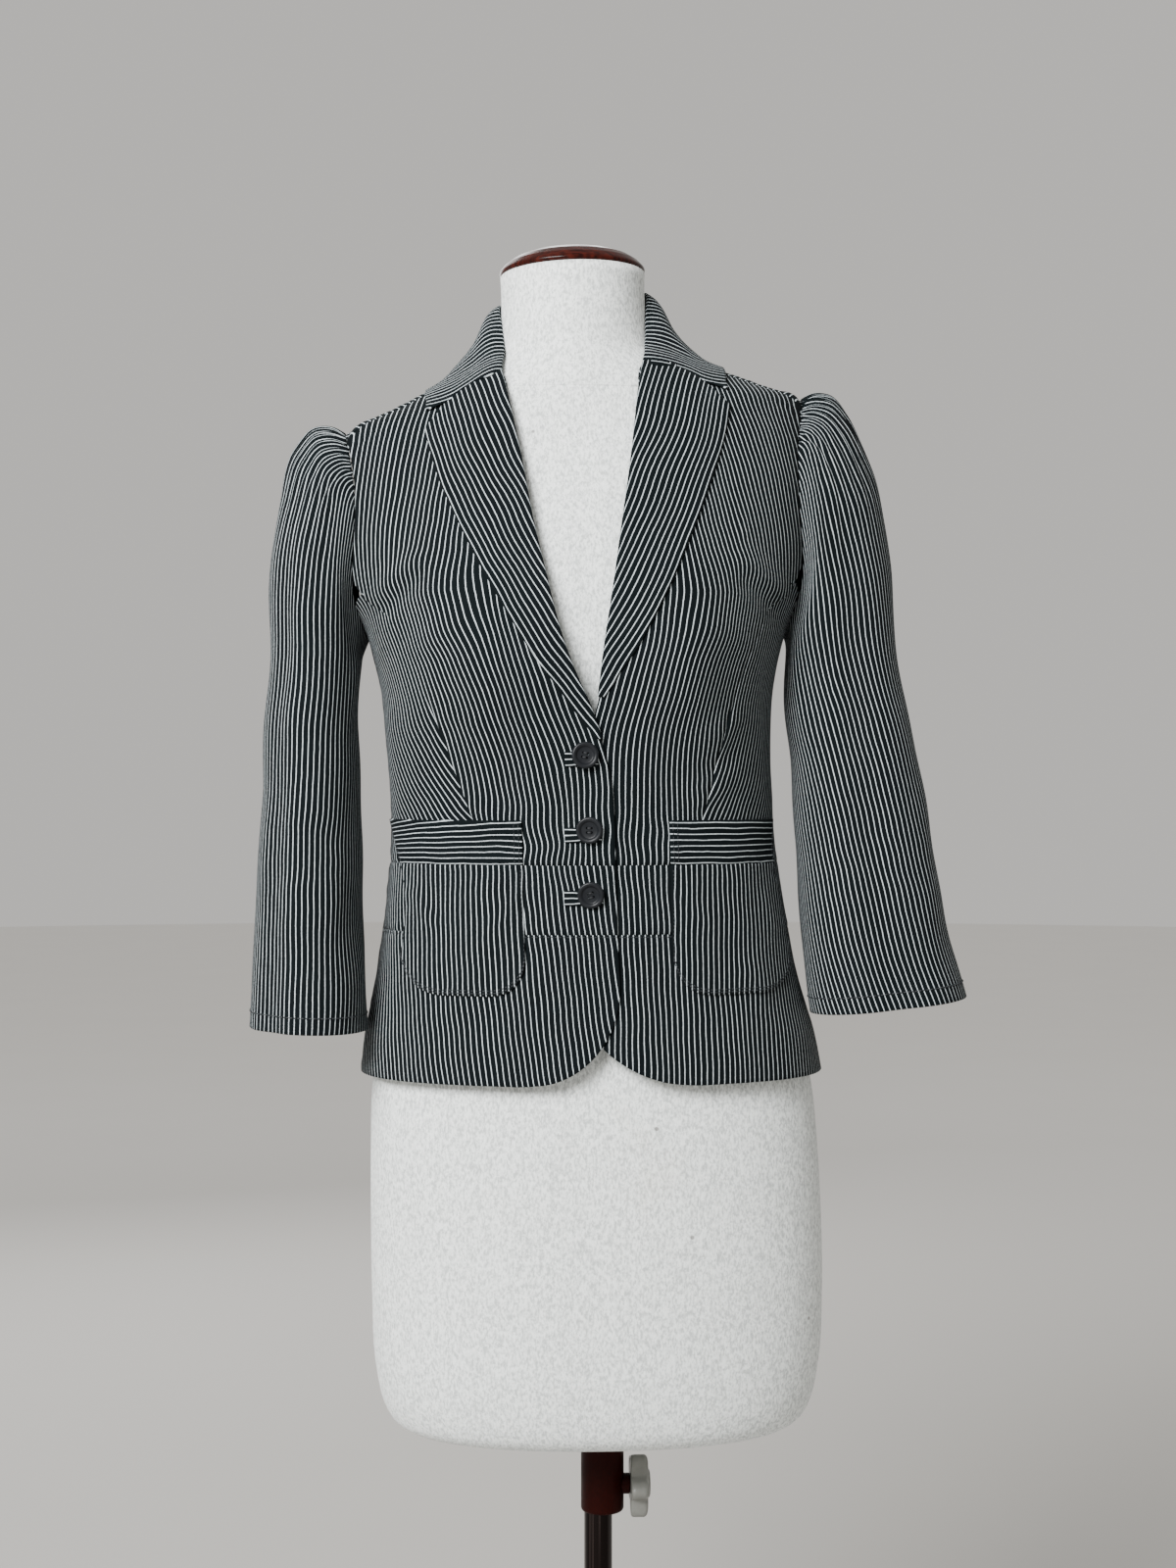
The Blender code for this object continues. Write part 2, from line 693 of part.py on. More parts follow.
def peplum_grid(side, corner=7, hem=8, rows=5):
    """The front skirt part, whose front corner is rounded."""
    across, up = FRONT_CORNER[side]
    turn = np.linspace(0, math.pi / 2, 60)
    h = FRONT_EDGE + across * (1 - np.cos(turn))
    z = HEM + up * (1 - np.sin(turn))
    corner_line = even(front_point(h, z), corner)
    hem_line = level_line(HEM, angle_at(FRONT_EDGE + across, HEM), 0.0, hem)
    bottom = joined(corner_line, hem_line)
    top = level_line(PEPLUM_SEAM, angle_at(FRONT_EDGE, PEPLUM_SEAM), 0.0, len(bottom))
    inner = even(front_point(FRONT_EDGE, np.linspace(HEM + up, PEPLUM_SEAM, 50)), rows)
    outer = even(ring(JACKET, 0.0, np.linspace(HEM, PEPLUM_SEAM, 50)), rows)
    return patch(bottom, top, inner, outer)


def mirrored(half):
    """A whole piece from the half at +X whose last column is the centre line."""
    return np.concatenate([half, (half * (-1, 1, 1))[:, -2::-1]], axis=1)


def gorge_and(side, point, seam=5, notch=3):
    """The seam between lapel and collar, and on from the notch to the point of either one."""
    line = np.array(GORGE[side] + (point,))
    free = np.linspace(line[-2], line[-1], 20)
    return joined(even(front_point(*line[:-1].T), seam), even(front_point(*free.T), notch))


def lapel_grid(side, rows=13):
    """The lapel, from the roll line out to its edge and up to the gorge and the notch."""
    edge = LAPEL_EDGE[side]
    foot = edge[0][0]
    inner = front_line(ROLL[side], foot, ROLL[side][-1][0], rows)
    outer = front_line(edge, foot, edge[-1][0], rows)
    top = gorge_and(side, LAPEL_PEAK)
    bottom = np.linspace(inner[0], outer[0], len(top))
    return patch(bottom, top, inner, outer)


def whole_collar(right_rows, left_rows, turn):
    """One table for the whole collar. The second column counts back from turn on the right side."""
    left = np.array(left_rows, float)
    right = np.array(right_rows, float)[:0:-1]
    right[:, 0] *= -1
    right[:, 1] = turn - right[:, 1]
    return np.vstack([right, left])


def collar_table(picked, turn):
    """The picked columns of the collar's table, for the whole collar."""
    rows = {side: COLLAR + (COLLAR_END[side],) for side in (RIGHT, LEFT)}
    right, left = ([[row[k] for k in picked] for row in rows[side]] for side in (RIGHT, LEFT))
    return whole_collar(right, left, turn)


def collar_fall_grid(along=33):
    """The turned-down leaf, from its edge up and over its fold, all round the neck."""
    s = np.linspace(1, -1, along)
    fold = read(collar_table((0, 1, 2, 3), 0), s)
    angle, height = columns(collar_table((0, 4, 5), 180), s)
    leaf = ring(JACKET, np.radians(angle), height)
    sag = read(whole_collar(FALL_SAG, FALL_SAG, 0), s)
    middle = (fold + leaf) / 2 + np.stack([sag[:, 0], 0 * s, sag[:, 1]], 1)
    ends = {side: gorge_and(side, COLLAR_TIP) * (side, 1, 1) for side in (RIGHT, LEFT)}
    t = np.linspace(0, 1, len(ends[LEFT]))
    weights = np.stack([(1 - t) ** 2, 2 * t * (1 - t), t**2], 1)
    hung = np.einsum("tk,ksc->tsc", weights, np.stack([fold, middle, leaf]))
    share = ease(np.abs(s), *FALL_MEETS)[None, :, None]
    left = (s > 0)[None, :, None]
    meets = np.where(left, ends[LEFT][:, None], ends[RIGHT][:, None])
    firsts = np.where(left, hung[:, :1], hung[:, -1:])
    grid = keep_clear(hung + share * (meets - firsts), REST + TURNED + FALL_CLEAR)
    loose = (1 - share[0]) * FOLD_LOOSE[0] + share[0] * FOLD_LOOSE[1]
    over = grid[0] - loose * unit(grid[0] * (1, 1, 0)) + loose * (0, 0, FOLD_RISE)
    return np.concatenate([over[None], grid])[::-1]


def collar_stand_grid(along=25, up=4):
    """The upright part of the collar inside the fold."""
    s = np.linspace(STAND_END, -STAND_END, along)
    fold = read(collar_table((0, 1, 2, 3), 0), s)
    angle, height = columns(whole_collar(STAND_SEAM, STAND_SEAM, 180), s)
    foot = ring(JACKET, np.radians(angle), height + STAND_FOOT)
    inside, below = STAND_HEAD
    head = fold - inside * unit(fold * (1, 1, 0)) - (0, 0, below)
    t = np.linspace(0, 1, up)[:, None, None]
    return (1 - t) * foot + t * head


def sleeve_columns():
    """Angles round the armhole, close together where the cap is gathered, and which of them are crests."""
    fine = np.linspace(-math.pi, math.pi, 2000)
    points = armhole(fine)
    run = np.concatenate([[0], np.cumsum(np.linalg.norm(np.diff(points, axis=0), axis=1))])
    centre = np.interp(0, fine, run) + GATHER_CENTRE
    half = GATHERS * GATHER_WIDTH / 2
    gathered = centre + np.linspace(-half, half, 2 * GATHERS + 1)
    plain = np.linspace(centre + half, centre - half + run[-1], 11)[1:-1]
    at = np.concatenate([gathered, plain])
    crest = np.concatenate([np.arange(2 * GATHERS + 1) % 2, np.zeros(len(plain))])
    return np.interp(at % run[-1], run, fine), crest


def sleeve_ring(side, alpha, z):
    """The hanging sleeve's section: 0 is its outer side, 90 degrees its front."""
    centre, width = columns(SLEEVE[side], z)
    hang = read(SLEEVE_HANG, z)[..., 0]
    top_depth, cuff_depth, cuff, _ = CUFF[side]
    depth = cuff_depth + (top_depth - cuff_depth) * (z - cuff) / (SLEEVE_TOP - cuff)
    at, fold_depth, fold_width = SLEEVE_FOLD[side]
    turn = (alpha - at + math.pi) % (2 * math.pi) - math.pi
    fold = fold_depth * np.exp(-((turn / fold_width) ** 2))
    power = 2 / SLEEVE_SQUARENESS
    c, s = np.cos(alpha), np.sin(alpha)
    x = centre + (width - fold) * np.sign(c) * np.abs(c) ** power
    y = hang - (depth - fold) * np.sign(s) * np.abs(s) ** power
    return np.stack([x, y, z], -1)


def cap_rows(side, phi, crest, end):
    """The gathered cap: curves that leave the armhole at its own slope and run into the ring at its end."""
    size = np.degrees(np.abs((phi + math.pi) % (2 * math.pi) - math.pi))
    out, fore, up = columns(CAP_LEAVES[side], size)
    leaves = np.stack([out, -fore * np.sign(np.sin(phi)), up], 1)
    inward, down = columns(CAP_ARRIVES, size)
    arrives = np.stack([inward, 0 * inward, down], 1)
    start = armhole(phi) + CAP_GAP * unit(leaves)
    rows = []
    for t in CAP_ROWS:
        row = (
            (2 * t**3 - 3 * t**2 + 1) * start
            + (t**3 - 2 * t**2 + t) * leaves
            + (3 * t**2 - 2 * t**3) * end
            + (t**3 - t**2) * arrives
        )
        grown = GATHER_START + (1 - GATHER_START) * min(t / GATHER_FULL, 1.0)
        depth = GATHER_DEPTH * grown * (1 - ease(t, *GATHER_FADE))
        away = unit(row - CAP_HEART)
        rows.append(row + (depth * (crest - 0.5))[:, None] * away)
    return rows


def sleeve_grid(side):
    """The whole sleeve as rings, from the armhole down to the cuff."""
    phi, crest = sleeve_columns()
    count = len(phi)
    turns = np.unwrap(phi)
    uniform = turns[0] + np.arange(count) * 2 * math.pi / count
    uniform += (turns - uniform).mean()

    def tube_ring(z):
        share = CAP_TWIST * max(0.0, (z - TWIST_END) / (SLEEVE_TOP - TWIST_END))
        return sleeve_ring(side, share * turns + (1 - share) * uniform, np.full(count, z))

    rows = cap_rows(side, phi, crest, tube_ring(SLEEVE_TOP))
    rows += [tube_ring(z) for z in TUBE_ROWS]
    _, _, cuff, tilt = CUFF[side]
    last = sleeve_ring(side, uniform, np.full(count, cuff))
    last[:, 2] += tilt * (last[:, 0] - SLEEVE[side][0][1])
    rows += [sleeve_ring(side, uniform, (rows[-1][:, 2] + last[:, 2]) / 2), last]
    grid = np.stack(rows)
    least = np.full(len(rows), SLEEVE_CLEAR)
    least[: len(CAP_CLEAR)] = CAP_CLEAR
    return keep_clear(grid, least[:, None] * np.ones(count))


def pocket_grid(side, across=7, rows=5, turn=4):
    """The pocket's bag, a patch with two rounded lower corners."""
    inner_h, outer_edge = POCKET[side]
    z = np.linspace(POCKET_BOTTOM, WAIST_SEAM, 200)
    outer_angle = np.radians(read(outer_edge, z)[:, 0])
    outer_h = ring(JACKET, outer_angle, z)
    low = POCKET_BOTTOM + POCKET_ROUND
    quarter = np.linspace(0, math.pi / 2, 30)
    rise = POCKET_ROUND * (1 - np.sin(quarter))
    inset = POCKET_ROUND * (1 - np.cos(quarter))
    right_h = np.interp(low, z, outer_h[:, 0])
    left_turn = even(front_point(inner_h + inset, POCKET_BOTTOM + rise), turn)
    right_turn = even(front_point(right_h - inset[::-1], POCKET_BOTTOM + rise[::-1]), turn)
    straight = np.linspace(inner_h + POCKET_ROUND, right_h - POCKET_ROUND, 60)
    bottom = joined(left_turn, even(front_point(straight, POCKET_BOTTOM), across - 2), right_turn)
    inner = even(front_point(inner_h, np.linspace(low, WAIST_SEAM, 50)), rows)
    height = np.linspace(low, WAIST_SEAM, 50)
    outer = even(ring(JACKET, np.interp(height, z, outer_angle), height), rows)
    top = level_line(WAIST_SEAM, angle_at(inner_h, WAIST_SEAM), outer_angle[-1], len(bottom))
    return patch(bottom, top, inner, outer)


def pocket_band_grid(side, across=9, rows=3):
    """The band across the pocket's top."""
    inner_h, outer_edge = POCKET[side]
    z = np.linspace(WAIST_SEAM, BAND_TOP, rows)
    angles = np.radians(read(outer_edge, z)[:, 0])
    return np.stack([level_line(h, angle_at(inner_h, h), angle, across) for h, angle in zip(z, angles)])


def buttonhole_grid(height, start):
    """A bound buttonhole: two lips round a slit, standing a little off the cloth."""
    x = np.linspace(start, BUTTONHOLE_END, 4)
    share, ridge = np.array(LIPS).T
    grid = front_point(x[None, :], height + BUTTONHOLE_HEIGHT * share[:, None])
    return grid, ridge[:, None] * np.ones(len(x))


# Blender objects


def material(name, colour, roughness, metallic=0.0):
    made = bpy.data.materials.new(name)
    made.use_nodes = True
    shader = made.node_tree.nodes["Principled BSDF"]
    shader.inputs["Base Color"].default_value = (*colour, 1.0)
    shader.inputs["Roughness"].default_value = roughness
    shader.inputs["Metallic"].default_value = metallic
    return made


def clear_scene():
    for obj in list(bpy.data.objects):
        bpy.data.objects.remove(obj, do_unlink=True)


def collection(name, hidden=False):
    made = bpy.data.collections.new(name)
    made.hide_render = hidden
    bpy.context.scene.collection.children.link(made)
    return made


def new_object(name, mesh, finish, group, parent=None):
    mesh.name = name
    mesh.materials.clear()
    if finish:
        mesh.materials.append(finish)
    obj = bpy.data.objects.new(name, mesh)
    group.objects.link(obj)
    if parent:
        obj.parent = parent
        obj.matrix_parent_inverse = parent.matrix_world.inverted()
    return obj


def loft(rows, closed_round=False, capped=False, flipped=False):
    """A mesh through rows of points, closed round and capped if asked."""
    made = bmesh.new()
    verts = [[made.verts.new(point * MM) for point in row] for row in rows]
    width = len(verts[0])
    for low, high in zip(verts, verts[1:]):
        for j in range(width if closed_round else width - 1):
            k = (j + 1) % width
            corners = [low[j], low[k], high[k], high[j]]
            made.faces.new(corners[::-1] if flipped else corners)
    if capped:
        made.faces.new(verts[0][::-1])
        made.faces.new(verts[-1])
    mesh = bpy.data.meshes.new("loft")
    made.to_mesh(mesh)
    made.free()
    mesh.shade_smooth()
    return mesh


def cloth_piece(name, grid, thickness, setting, flipped=False, closed_round=False):
    """A sheet whose outer face is the grid, with its thickness inside."""
    mesh = loft(grid, closed_round=closed_round, flipped=flipped)
    obj = new_object(name, mesh, setting["cloth"], setting["parts"], setting["carriage"])
    wall = obj.modifiers.new("wall", "SOLIDIFY")
    wall.thickness = thickness * MM
    wall.offset = -1
    wall.use_even_offset = True
    wall.use_quality_normals = True
    mesh.set_sharp_from_angle(angle=math.radians(50))
    return obj


def turned(name, profile, steps, finish, group, parent=None):
    """A solid of revolution about its own Z. The profile runs down its outer side."""
    made = bmesh.new()
    verts = [made.verts.new((r * MM, 0, z * MM)) for r, z in profile]
    for first, second in zip(verts, verts[1:]):
        made.edges.new((first, second))
    if profile[0][0] > 0:
        made.edges.new((verts[-1], verts[0]))
    mesh = bpy.data.meshes.new(name)
    made.to_mesh(mesh)
    made.free()
    obj = new_object(name, mesh, finish, group, parent)
    screw = obj.modifiers.new("turn", "SCREW")
    screw.steps = screw.render_steps = steps
    screw.use_merge_vertices = True
    screw.merge_threshold = 0.00001
    screw.use_smooth_shade = True
    return obj


def cylinder(name, radius, bottom, top, sides, finish, group, parent=None):
    """An upright cylinder, round the pole's axis."""
    made = bmesh.new()
    size = {"radius1": radius * MM, "radius2": radius * MM, "depth": (top - bottom) * MM}
    bmesh.ops.create_cone(made, cap_ends=True, segments=sides, **size)
    mesh = bpy.data.meshes.new(name)
    made.to_mesh(mesh)
    made.free()
    mesh.shade_smooth()
    mesh.set_sharp_from_angle(angle=math.radians(40))
    obj = new_object(name, mesh, finish, group, parent)
    obj.location.z = (bottom + top) / 2 * MM
    return obj


def with_boolean(obj, other, operation):
    cut = obj.modifiers.new(operation.lower(), "BOOLEAN")
    cut.operation = operation
    cut.object = other
    cut.solver = "EXACT"


def as_helper(obj):
    obj.hide_render = True
    obj.display_type = "WIRE"
    return obj


def build_panels(setting):
    """Fronts, side fronts, back, waistband and skirt parts."""
    for side, word in ((RIGHT, "right"), (LEFT, "left")):
        flipped = side == RIGHT

        def panel(name, grid, top=SEAM):
            grid = kept_back(grid, top=top)
            cloth_piece(f"{name}_{word}", worn(grid, side, lap(side, grid)), CLOTH, setting, flipped)

        panel("front", front_grid(side), SHOULDER_GAP)
        panel("side_front", side_front_grid())
        panel("waistband", level_grid(PEPLUM_SEAM, WAIST_SEAM, front_edge_angle, 0.0, 13, 3))
        panel("peplum", peplum_grid(side))
    band = level_grid(PEPLUM_SEAM, WAIST_SEAM, side_seam_angle, BACK_CENTRE, 9, 3)
    skirt = level_grid(HEM, PEPLUM_SEAM, side_seam_angle, BACK_CENTRE, 10, 5)
    for name, half in (("back", back_half_grid()), ("waistband_back", band), ("peplum_back", skirt)):
        cloth_piece(name, worn(kept_back(mirrored(half)), LEFT), CLOTH, setting)


def build_lapels_and_collar(setting):
    for side, word in ((RIGHT, "right"), (LEFT, "left")):
        grid = kept_back(lapel_grid(side))
        out = REST + TURNED + lap(side, grid) + LAPEL_RISE * ease(grid[..., 2], *LAPEL_RISES)
        cloth_piece(f"lapel_{word}", worn(grid, side, out), TURNED, setting, side == RIGHT)
    fall = kept_back(collar_fall_grid(), COLLAR_GAP)
    cloth_piece("collar_fall", lean(fall.reshape(-1, 3)).reshape(fall.shape), TURNED, setting)
    stand = collar_stand_grid()
    cloth_piece("collar_stand", lean(stand.reshape(-1, 3)).reshape(stand.shape), CLOTH, setting)


def build_sleeves(setting):
    for side, word in ((RIGHT, "right"), (LEFT, "left")):
        grid = sleeve_grid(side) * (side, 1, 1)
        points = lean(grid.reshape(-1, 3)).reshape(grid.shape)
        cloth_piece(f"sleeve_{word}", points, CLOTH, setting, side == RIGHT, closed_round=True)


def build_pockets(setting):
    for side, word in ((RIGHT, "right"), (LEFT, "left")):
        for name, grid in (("pocket", pocket_grid(side)), ("pocket_band", pocket_band_grid(side))):
            grid = kept_back(grid)
            points = worn(grid, side, REST + CLOTH + lap(side, grid))
            cloth_piece(f"{name}_{word}", points, CLOTH, setting, side == RIGHT)


def button_place(height):
    """Where a button's axis meets the lapped front, and the way the button faces."""
    foot = front_point(np.array([0.0]), np.array([height]))
    at = worn(foot, RIGHT, LAP)[0]
    way = worn(foot, RIGHT, LAP + 1.0)[0] - at
    return at, way


def build_buttons(setting):
    """Bound buttonholes on the right front, and the four-holed buttons fastened through them."""
    parts, helpers = setting["parts"], setting["helpers"]
    ridge_top = max(ridge for _, ridge in LIPS)
    for number, (height, start, drop) in enumerate(BUTTONS, start=1):
        grid, ridge = buttonhole_grid(height - drop, start)
        cloth_piece(f"buttonhole_{number}", worn(grid, LEFT, LAP + GAP + LIP + ridge), LIP, setting)
        at, way = button_place(height)
        button = turned(f"button_{number}", BUTTON, 16, setting["button"], parts, setting["carriage"])
        facing = math.atan2(way[2], math.hypot(way[0], way[1]))
        button.rotation_euler = (0, math.pi / 2 - facing, math.atan2(way[1], way[0]))
        button.location = (at + way * (GAP + LIP + ridge_top + BUTTON_REST)) * MM
        for corner in range(THREAD_HOLES):
            angle = (corner + 0.5) * 2 * math.pi / THREAD_HOLES
            name = f"thread_hole_{number}_{corner + 1}"
            hole = as_helper(cylinder(name, THREAD_HOLE_RADIUS, -2, 6, 6, None, helpers))
            hole.parent = button
            reach = THREAD_HOLE_REACH * MM
            hole.location = (reach * math.cos(angle), reach * math.sin(angle), hole.location.z)
            with_boolean(button, hole, "DIFFERENCE")


def build_form(setting):
    """The padded torso with the bore for its pole, and the turned cap on its neck."""
    parts, carriage = setting["parts"], setting["carriage"]
    angle = -math.pi / 2 + np.arange(TORSO_SIDES) * 2 * math.pi / TORSO_SIDES
    rings = [ring(FORM, angle, float(row[0])) for row in FORM]
    rows = [lean(fill_out(points, FORM, FORM_BUST)) for points in rings]
    mesh = loft(rows, closed_round=True, capped=True)
    torso = new_object("form_torso", mesh, setting["jersey"], parts, carriage)
    bore = cylinder("pole_bore", BORE_RADIUS, FORM_BOTTOM - PAST, BORE_TOP, 24, None, setting["helpers"])
    with_boolean(torso, as_helper(bore), "DIFFERENCE")
    cap = turned("neck_cap", CAP_DOME, 28, setting["wood"], parts, carriage)
    shift, _ = read(LEAN, NECK_TOP)
    cap.location = (shift * MM, 0, (NECK_TOP + GAP) * MM)
    cap.rotation_euler = (0, -math.atan(CAP_TILT), 0)


def build_stand(setting):
    """Base, pole, the socket under the torso, and the knob of its clamp."""
    parts, helpers, carriage = setting["parts"], setting["helpers"], setting["carriage"]
    turned("base", BASE, 36, setting["steel"], parts)
    cylinder("pole", POLE_RADIUS, BASE[0][1] + GAP, POLE_TOP, 24, setting["steel"], parts)
    socket = turned("socket", SOCKET, 28, setting["plastic"], parts, carriage)
    socket.location.x = SOCKET_OFFSET * MM
    boss_start = SOCKET_OFFSET + SOCKET_RADIUS - BOSS_ROOT
    boss = cylinder("socket_boss", BOSS_RADIUS, 0, BOSS_END - boss_start, 16, None, helpers)
    boss.rotation_euler = (0, math.pi / 2, 0)
    boss.location = ((boss_start + BOSS_END) / 2 * MM, 0, KNOB_HEIGHT * MM)
    with_boolean(socket, as_helper(boss), "UNION")
    ends = SOCKET_BOTTOM - PAST, SOCKET_TOP + PAST
    bore = cylinder("socket_bore", SOCKET_BORE_RADIUS, *ends, 24, None, helpers)
    with_boolean(socket, as_helper(bore), "DIFFERENCE")
    build_knob(setting)


def build_knob(setting):
    """The clamp's lobed knob, turned about an axis along X."""
    angle = np.arange(KNOB_LOBES * 8) * 2 * math.pi / (KNOB_LOBES * 8)
    rows = []
    for out, share, lobed in KNOB:
        reach = share * (KNOB_RADIUS + lobed * LOBE * np.cos(KNOB_LOBES * angle))
        rows.append(np.stack([out + 0 * angle, -reach * np.cos(angle), -reach * np.sin(angle)], 1))
    mesh = loft(rows, closed_round=True, capped=True)
    knob = new_object("clamp_knob", mesh, setting["cream"], setting["parts"], setting["carriage"])
    knob.location = (BOSS_END * MM, 0, KNOB_HEIGHT * MM)


def main():
    clear_scene()
    setting = {
        "parts": collection("cropped blazer on a dress form"),
        "helpers": collection("cutters"),
        "cloth": material("striped_cloth", (0.13, 0.14, 0.14), 0.85),
        "jersey": material("form_jersey", (0.66, 0.67, 0.60), 0.9),
        "wood": material("cap_wood", (0.16, 0.035, 0.02), 0.25),
        "steel": material("pole_steel", (0.30, 0.30, 0.31), 0.3, 1.0),
        "plastic": material("socket_plastic", (0.035, 0.012, 0.01), 0.4),
        "cream": material("knob_plastic", (0.75, 0.72, 0.62), 0.4),
        "button": material("button_plastic", (0.03, 0.03, 0.035), 0.35),
    }
    carriage = bpy.data.objects.new("form_carriage", None)
    carriage.location.z = FORM_BOTTOM * MM
    setting["parts"].objects.link(carriage)
    bpy.context.view_layer.update()
    setting["carriage"] = carriage
    build_panels(setting)
    build_lapels_and_collar(setting)
    build_sleeves(setting)
    build_pockets(setting)
    build_buttons(setting)
    build_form(setting)
    build_stand(setting)


main()
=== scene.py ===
"""The looks of a cropped striped blazer on its dress form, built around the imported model.

Each cloth piece starts from the outer face of its solid. The face's points are put back into the rows and
columns that it was made from, a smooth surface is drawn through them, and creases, stripes and stitches
are laid on that surface. Lengths are metres. The front faces -Y, and the wearer's left is at +X.
"""

import math

import bmesh
import bpy
import numpy as np
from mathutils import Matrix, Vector
from mathutils.bvhtree import BVHTree


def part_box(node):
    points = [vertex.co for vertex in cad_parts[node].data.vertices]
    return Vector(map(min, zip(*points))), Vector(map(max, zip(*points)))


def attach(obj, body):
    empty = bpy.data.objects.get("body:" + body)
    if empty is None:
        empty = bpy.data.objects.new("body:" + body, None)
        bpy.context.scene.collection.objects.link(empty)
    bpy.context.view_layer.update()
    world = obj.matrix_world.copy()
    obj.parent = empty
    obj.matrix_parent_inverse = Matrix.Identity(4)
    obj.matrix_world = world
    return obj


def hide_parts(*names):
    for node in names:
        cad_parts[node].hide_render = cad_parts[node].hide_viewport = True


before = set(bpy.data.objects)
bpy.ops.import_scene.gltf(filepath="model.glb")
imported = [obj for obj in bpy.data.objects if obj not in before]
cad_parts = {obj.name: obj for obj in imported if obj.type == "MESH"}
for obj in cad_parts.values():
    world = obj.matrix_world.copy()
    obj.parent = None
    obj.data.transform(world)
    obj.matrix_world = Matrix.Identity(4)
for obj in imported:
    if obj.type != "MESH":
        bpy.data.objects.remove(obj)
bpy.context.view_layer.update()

MM = 0.001
FLAT = (1, 1, 0)
FORM, STAND, KNOB = "form", "stand", "knob"
OUTWARDS = {"right": -1, "left": 1}  # along X, from the body's centre line
# A panel's edge towards the centre front has the name of its side, as seen from outside
OUTER = {"right": "left", "left": "right"}

CLOTH, TURNED_CLOTH, STRIP_CLOTH, LIP_CLOTH = 1.2 * MM, 1.6 * MM, 0.7 * MM, 0.8 * MM  # thickness
STEP, BACK_STEP, FINE_STEP, LIP_STEP, FORM_STEP = 3.0 * MM, 3.6 * MM, 2.2 * MM, 0.7 * MM, 7 * MM
STRIPE = 4.3 * MM
DART_TIP = 1.062
WELD = 5e-6
WALL_ANGLE = math.radians(50)  # a thin wall's rim turns by more than this
BODY_CORE = (-0.012, 0.0, 0.0)
CAST_FROM = 0.6  # rays towards the body start this far out

# Camera, for a picture of 1200 x 1600
PICTURE_HEIGHT = 1600
FOCAL_PIXELS = 2219
SENSOR = 36.0
CAMERA_TURN = math.radians(2.6)
CAMERA_AWAY, CAMERA_SIDE, CAMERA_HEIGHT = 1.70, -0.0079, 0.992


def unit(vectors):
    return vectors / np.maximum(np.linalg.norm(vectors, axis=-1, keepdims=True), 1e-12)


def ease(value, start, end):
    """0 before start, 1 after end, and smooth between."""
    t = np.clip((np.asarray(value, float) - start) / (end - start), 0, 1)
    return t * t * (3 - 2 * t)


# Reading a solid's outer face back as rows and columns


def welded(mesh):
    """A mesh's faces, with the points that lie in one place made one."""
    made = bmesh.new()
    made.from_mesh(mesh)
    bmesh.ops.remove_doubles(made, verts=made.verts, dist=WELD)
    bmesh.ops.dissolve_degenerate(made, edges=made.edges, dist=WELD)
    return made


def outer_face(node, core):
    """Points and triangles of a thin wall's outer side, which faces away from the core."""
    made = welded(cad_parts[node].data)
    made.normal_update()
    made.verts.index_update()
    seen, parts = set(), []
    for first in made.faces:
        if first in seen:
            continue
        part, waiting = [], [first]
        seen.add(first)
        while waiting:
            face = waiting.pop()
            part.append(face)
            for edge in face.edges:
                if len(edge.link_faces) == 2 and edge.calc_face_angle(math.pi) <= WALL_ANGLE:
                    beyond = [other for other in edge.link_faces if other not in seen]
                    seen.update(beyond)
                    waiting += beyond
        parts.append(part)

    def outward(part):
        ways = [(face.calc_center_median() - Vector(core)) * Vector(FLAT) for face in part]
        return sum(face.normal.dot(way) * face.calc_area() for face, way in zip(part, ways))

    points = np.array([vert.co for vert in made.verts])
    triangles = np.array([[vert.index for vert in face.verts] for face in max(parts, key=outward)])
    made.free()
    return points, triangles


def boundary_loops(triangles):
    """The loops of vertices round the edge of a face, in the triangles' own sense."""
    pairs = {(t[i], t[(i + 1) % 3]) for t in triangles.tolist() for i in range(3)}
    following = {a: b for a, b in pairs if (b, a) not in pairs}
    loops = []
    while following:
        start, at = next(iter(following.items()))
        loop = [start]
        del following[start]
        while at != start:
            loop.append(at)
            at = following.pop(at)
        loops.append(loop)
    return loops


def next_row(strip, row, points, closed):
    """The far side of the strip of triangles that touches a row, in the row's order."""
    here = set(row)
    links, near = {}, {}
    for triangle in strip.tolist():
        outside = [v for v in triangle if v not in here]
        for v in outside:
            near.setdefault(v, set()).update(here.intersection(triangle))
        if len(outside) == 2:
            for v, other in (outside, outside[::-1]):
                links.setdefault(v, set()).add(other)
    ends = [v for v in links if len(links[v]) == 1]
    if len(links) != len(row) or len(ends) != (0 if closed else 2) or max(map(len, links.values())) > 2:
        return None
    starts = list(links) if closed else [v for v in ends if row[0] in near[v]]
    if not starts:
        return None
    chain, last = starts[:1], None
    while len(chain) < len(links):
        onward = [v for v in links[chain[-1]] if v != last]
        if not onward:
            return None
        last = chain[-1]
        chain.append(onward[0])
    if not closed:
        return chain
    turns = []
    for way in (chain, chain[::-1]):
        turns += [way[k:] + way[:k] for k, v in enumerate(way) if row[0] in near[v]]
    return min(turns, key=lambda turn: np.linalg.norm(points[turn] - points[row], axis=1).sum())


def peeled(points, triangles, row, closed=False):
    """The rows of a grid from its first one on: each is the far side of the strip that touches the last."""
    rows, left = [list(row)], triangles
    while len(left):
        touched = np.isin(left, rows[-1]).any(1)
        following = next_row(left[touched], rows[-1], points, closed)
        if following is None or len(following) != len(row):
            break
        rows.append(following)
        left = left[~touched]
    return rows, len(left)


